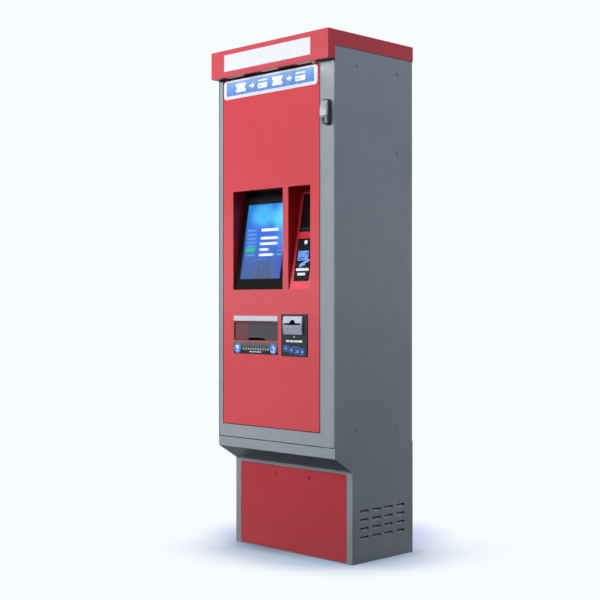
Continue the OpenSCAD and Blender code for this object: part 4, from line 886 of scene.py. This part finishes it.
# Note plate: four stepped note signs, a run of bars and a small pointer
NOTE = 3.0  # how far the note plate stands out
STEPS = [(70.5, 812, 31, 23), (102.5, 806.5, 32, 22), (134.5, 801, 31, 22), (160.5, 801, 22, 25)]
print_piece("note_plate_fields", [round_box(x, z, w, h, 1.2) for x, z, w, h in STEPS],
            on_front, NOTE, NOTE + INK, MARK_DEEP)
print_piece("note_plate_notes", [round_box(x - 2, z, 12, 9, 0.8) for x, z, _, _ in STEPS],
            on_front, NOTE + INK, NOTE + 0.4, MARK_PALE)
edges = []
for x, z, w, h in STEPS:
    edges += [round_box(x, z + h / 2 - 1, w, 1.6, 0.4), round_box(x - w / 2 + 0.8, z, 1.6, h, 0.4),
              round_box(x, z - h / 2 + 1, w, 1.6, 0.4)]
print_piece("note_plate_edges", edges, on_front, NOTE + INK, NOTE + 0.35, MARK_BLUE)
print_piece("note_plate_rule", [turned(round_box(124, 818.5, 36, 1.8, 0.5), 124, 818.5, -4)],
            on_front, NOTE, NOTE + INK, MARK_BLUE)
BARS = [(79, 20), (102, 19), (124, 18), (146.5, 21)]
print_piece("note_plate_bars", [round_box(x, 840.3, w, 8, 1.6) for x, w in BARS],
            on_front, NOTE, NOTE + INK, MARK_WHITE)
print_piece("note_plate_pointer", [[(110.2, 861), (113.7, 852.5), (117.2, 861)]],
            on_front, NOTE, NOTE + INK, MARK_WHITE)

# Note bezel: black liner round the slot, a dark sheet of painted shade in the thumb notch and a small lamp
ring_piece("note_slot_liner", round_box(SLOT_X, SLOT_Z, 88.5, 7.0, 1.5),
           round_box(SLOT_X, SLOT_Z, 86.0, 4.6, 1.0), on_front, 12.4, 13.1, SLOT_BLACK, "door")
notch = [(SLOT_X + 15.8 * math.cos(math.radians(a)), SLOT_Z + 2.6 + 13.2 * math.sin(math.radians(a)))
         for a in range(0, 181, 12)]
print_piece("note_notch_painted_shade", [notch], on_front, 6.0, 6.3, SLOT_BLACK)
print_piece("note_bezel_lamp", [disc(86.7, 886.5, 2.2, 20)], on_front, 12.1, 12.5, SLOT_BLACK)

# Dark seal in the groove round the red fascia, which also stands as painted shade in the groove
FASCIA = (-25.5, 1193.5)  # its middle
ring_piece("fascia_seal_and_shade", round_box(*FASCIA, 547, 1389, 3), round_box(*FASCIA, 542.4, 1384.4, 2),
           on_front, 0.0, 0.25, SEAL_RUBBER, "door")


# Studio, in metres

BACKDROP = (0.939, 0.973, 1.0, 1.0)
WHITE = (1.0, 1.0, 1.0, 1.0)
DIAGONAL = 0.7071  # turns X and Y into the photo's own left-right and near-far
SHADOW_X, SHADOW_Y, SHADOW_NEAR = (-0.265, 0.385), (-0.2, 0.41), 0.23  # the floor's shaded patch
# Middle and half widths of the painted shadow halo on the floor
SHADOW_HALO_MIDDLE, SHADOW_HALO_HALF = (0.065, 0.30), (0.60, 0.55)  # left-right and near-far
FLOOR_FILL = (0.335, 0.43, 0.65)
CAMERA_PLACE = (3.3343, -3.4052, 0.9844)
CAMERA_LOOK = (-0.70625, 0.70797, 0.0)
DOWNLIGHT_Z = 1.8905


def look_at(thing, target):
    thing.rotation_euler = (Vector(target) - thing.location).to_track_quat("-Z", "Y").to_euler()


def soft_lamp(name, place, target, width, height, power):
    lamp = bpy.data.lights.new(name, "AREA")
    lamp.shape = "RECTANGLE"
    lamp.size = width
    lamp.size_y = height
    lamp.energy = power
    thing = set_out(name, lamp)
    thing.location = place
    look_at(thing, target)
    thing.visible_camera = False
    thing.visible_glossy = False
    thing.visible_transmission = False
    return thing


def downlight(x, aim_x, aim_z, power, spread):
    """A lamp under the canopy that looks down the door."""
    lamp = soft_lamp("downlight", (x * MM, (FRONT - 18.5) * MM, DOWNLIGHT_Z),
                     (aim_x * MM, (FRONT - 10.0) * MM, aim_z), 0.085, 0.012, power)
    lamp.data.spread = spread
    return lamp


def shown_rays(board):
    """1 for rays from the camera, off a gloss or through glass, 0 for rays that only carry light."""
    path = board.put("ShaderNodeLightPath").outputs
    straight = board.math("MAXIMUM", path["Is Camera Ray"], path["Is Glossy Ray"])
    return board.math("MAXIMUM", straight, path["Is Transmission Ray"])


def build_world():
    """Dim air for light, and a pale backdrop that gloss and glass see fade into a dim ceiling."""
    world = bpy.data.worlds.new("studio_air")
    bpy.context.scene.world = world
    b = fresh_board(world)
    rise = b.axes(b.put("ShaderNodeTexCoord").outputs["Generated"])[2]
    ceiling = b.span(rise, 0.02, 0.16, 1.0, 0.14)
    straight = b.put("ShaderNodeLightPath").outputs["Is Camera Ray"]
    dim = b.put("ShaderNodeBackground", {"Color": (0.88, 0.93, 1.0, 1.0), "Strength": 0.14})
    pale = b.put("ShaderNodeBackground", {"Color": BACKDROP, "Strength": b.math("MAXIMUM", straight, ceiling)})
    both = b.put("ShaderNodeMixShader", {0: shown_rays(b), 1: dim.outputs[0], 2: pale.outputs[0]})
    b.feed(b.put("ShaderNodeOutputWorld").inputs["Surface"], both.outputs[0])


def beyond(b, value, low, high):
    """Square of the distance by which a value lies outside a span."""
    off_middle = b.math("ABSOLUTE", b.minus(value, (low + high) / 2))
    return b.square(b.math("MAXIMUM", b.minus(off_middle, (high - low) / 2), 0.0))


def open_floor(b, x, y):
    """0 where the floor bears the kiosk's shadow, 1 where it is as pale as the backdrop."""
    nearer = b.minus(b.times(b.minus(x, y), DIAGONAL), SHADOW_NEAR)
    sides = b.math("ADD", beyond(b, x, *SHADOW_X), beyond(b, y, *SHADOW_Y))
    reach = b.math("SQRT", b.math("ADD", sides, b.square(b.math("MAXIMUM", nearer, 0.0))))
    return b.span(reach, 0.03, 0.34)


def painted_floor_shadow(b, x, y):
    """Painted shadow on the floor near the base: a close dark contact shadow, and a wider cool halo of shadow
    at its sides and behind.
    """
    side_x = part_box("right_side_panel")[1][0]
    front_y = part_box("plinth_front")[0][1]
    outside = b.math("ADD", beyond(b, x, -side_x, side_x), beyond(b, y, front_y, cover_y * MM))
    from_foot = b.math("SQRT", outside)
    contact_shadow = b.math("ADD", b.span(from_foot, 0.0, 0.09, 0.5, 0.0), b.span(from_foot, 0.0, 0.26, 0.5, 0.0))
    in_front = b.fall(y, front_y - 0.02, front_y + 0.12)
    open_end = b.times(b.span(x, -0.2, side_x, 0.0, 0.7), in_front)
    contact_shadow = b.times(contact_shadow, b.minus(1.0, open_end))
    contact_shadow = b.times(contact_shadow, b.span(x, -0.34, -0.2, 0.7, 1.0))
    warm_shadow_share = b.times(in_front, b.span(x, -0.27, -0.13))
    contact_shadow_tint = b.mix(warm_shadow_share, (0.62, 0.64, 0.66, 1.0), (0.62, 0.60, 0.47, 1.0))
    across = b.times(b.math("ADD", x, y), DIAGONAL)
    along = b.times(b.minus(y, x), DIAGONAL)
    wide = b.square(b.math("DIVIDE", b.minus(across, SHADOW_HALO_MIDDLE[0]), SHADOW_HALO_HALF[0]))
    deep = b.square(b.math("DIVIDE", b.minus(along, SHADOW_HALO_MIDDLE[1]), SHADOW_HALO_HALF[1]))
    # Painted shadow halo, wide and soft, at the base's sides and behind
    haze = b.fall(b.math("SQRT", b.math("ADD", wide, deep)), 0.55, 1.0)
    haze = b.times(haze, b.span(y, -0.22, -0.02))
    halo_shadow_tint = b.mix(b.span(wide, 0.0, 0.4), (0.66, 0.70, 0.80, 1.0), (0.65, 0.69, 0.89, 1.0))
    return b.stretch(b.mix(contact_shadow, WHITE, contact_shadow_tint), b.mix(haze, WHITE, halo_shadow_tint))


def build_floor():
    """A wide pale floor that keeps the kiosk's shadow near it, with a painted shadow round the base, and meets
    the backdrop further out.
    """
    mesh = bpy.data.meshes.new("studio_floor")
    bm = bmesh.new()
    bmesh.ops.create_grid(bm, x_segments=2, y_segments=2, size=40.0)
    bm.to_mesh(mesh)
    bm.free()
    floor = set_out("studio_floor", mesh)
    floor.location = (0.0, 0.0, -0.0005)
    material = bpy.data.materials.new("pale_floor")
    b = fresh_board(material)
    place = b.place()
    x, y, _ = b.axes(place)
    shaded = painted_floor_shadow(b, x, y)
    fleck = b.span(b.noise(place, 60.0), 0.3, 0.7)
    tone = b.mix(fleck, (0.86, 0.77, 0.52, 1.0), (0.89, 0.80, 0.54, 1.0))
    lit = b.put("ShaderNodeBsdfDiffuse", {"Color": b.stretch(tone, shaded)})
    fill = b.put("ShaderNodeEmission", {"Color": b.stretch(shaded, FLOOR_FILL), "Strength": 1.0})
    near = b.put("ShaderNodeAddShader", {0: lit.outputs[0], 1: fill.outputs[0]})
    straight = b.put("ShaderNodeLightPath").outputs["Is Camera Ray"]
    own = b.put("ShaderNodeEmission", {"Color": b.stretch(shaded, BACKDROP[:3]),
                                       "Strength": b.math("MAXIMUM", straight, 0.55)})
    shown = b.put("ShaderNodeMixShader", {0: open_floor(b, x, y), 1: near.outputs[0], 2: own.outputs[0]})
    dull = b.put("ShaderNodeBsdfDiffuse", {"Color": (0.07, 0.073, 0.08, 1.0)})
    both = b.put("ShaderNodeMixShader", {0: shown_rays(b), 1: dull.outputs[0], 2: shown.outputs[0]})
    b.feed(b.put("ShaderNodeOutputMaterial").inputs["Surface"], both.outputs[0])
    mesh.materials.append(material)
    return floor


def spare_floor(floor, lamps):
    """Keeps these lamps off the floor, so that its shadow comes from overhead alone."""
    spared = bpy.data.collections.new("floor_alone")
    spared.objects.link(floor)
    spared.collection_objects[0].light_linking.link_state = "EXCLUDE"
    for lamp in lamps:
        lamp.light_linking.receiver_collection = spared


def build_camera():
    camera = bpy.data.cameras.new("photo_view")
    camera.lens = 71.22
    camera.sensor_width = 36.0
    camera.shift_y = 0.006
    camera.clip_end = 200.0
    thing = set_out("photo_view", camera)
    thing.location = CAMERA_PLACE
    look_at(thing, thing.location + Vector(CAMERA_LOOK))
    bpy.context.scene.camera = thing


build_world()
floor = build_floor()
build_camera()
front_light = soft_lamp("front_light", (-1.3, -4.3, 2.9), (0.0, -0.2, 0.9), 2.4, 1.4, 190.0)
front_panel = soft_lamp("front_panel", (-3.4, -3.7, 2.8), (0.0, -0.2, 1.1), 2.4, 1.1, 100.0)
side_light = soft_lamp("side_light", (3.2, 0.3, 4.0), (0.3, 0.0, 1.0), 2.4, 2.0, 62.0)
side_light.data.color = (0.92, 0.99, 1.1)
back_light = soft_lamp("back_light", (0.8, 4.5, 2.6), (0.0, 0.2, 1.0), 2.6, 2.0, 120.0)
spare_floor(floor, [front_light, front_panel, side_light, back_light])
soft_lamp("top_light", (-0.49, 0.49, 9.0), (0.0, 0.0, 0.0), 3.5, 3.5, 458.0)
for lamp_x in (-204.0, -6.0, 192.0):
    downlight(lamp_x, lamp_x, 1.6, 0.008, 2.8)
stile_light = downlight(205.0, 300.0, 1.858, 0.06, 1.1)  # grazes the lock stile, and lights nothing else
stile = bpy.data.collections.new("stile_alone")
stile.objects.link(nodes["door_frame"])
stile_light.light_linking.receiver_collection = stile

bpy.context.scene.view_settings.view_transform = "Standard"
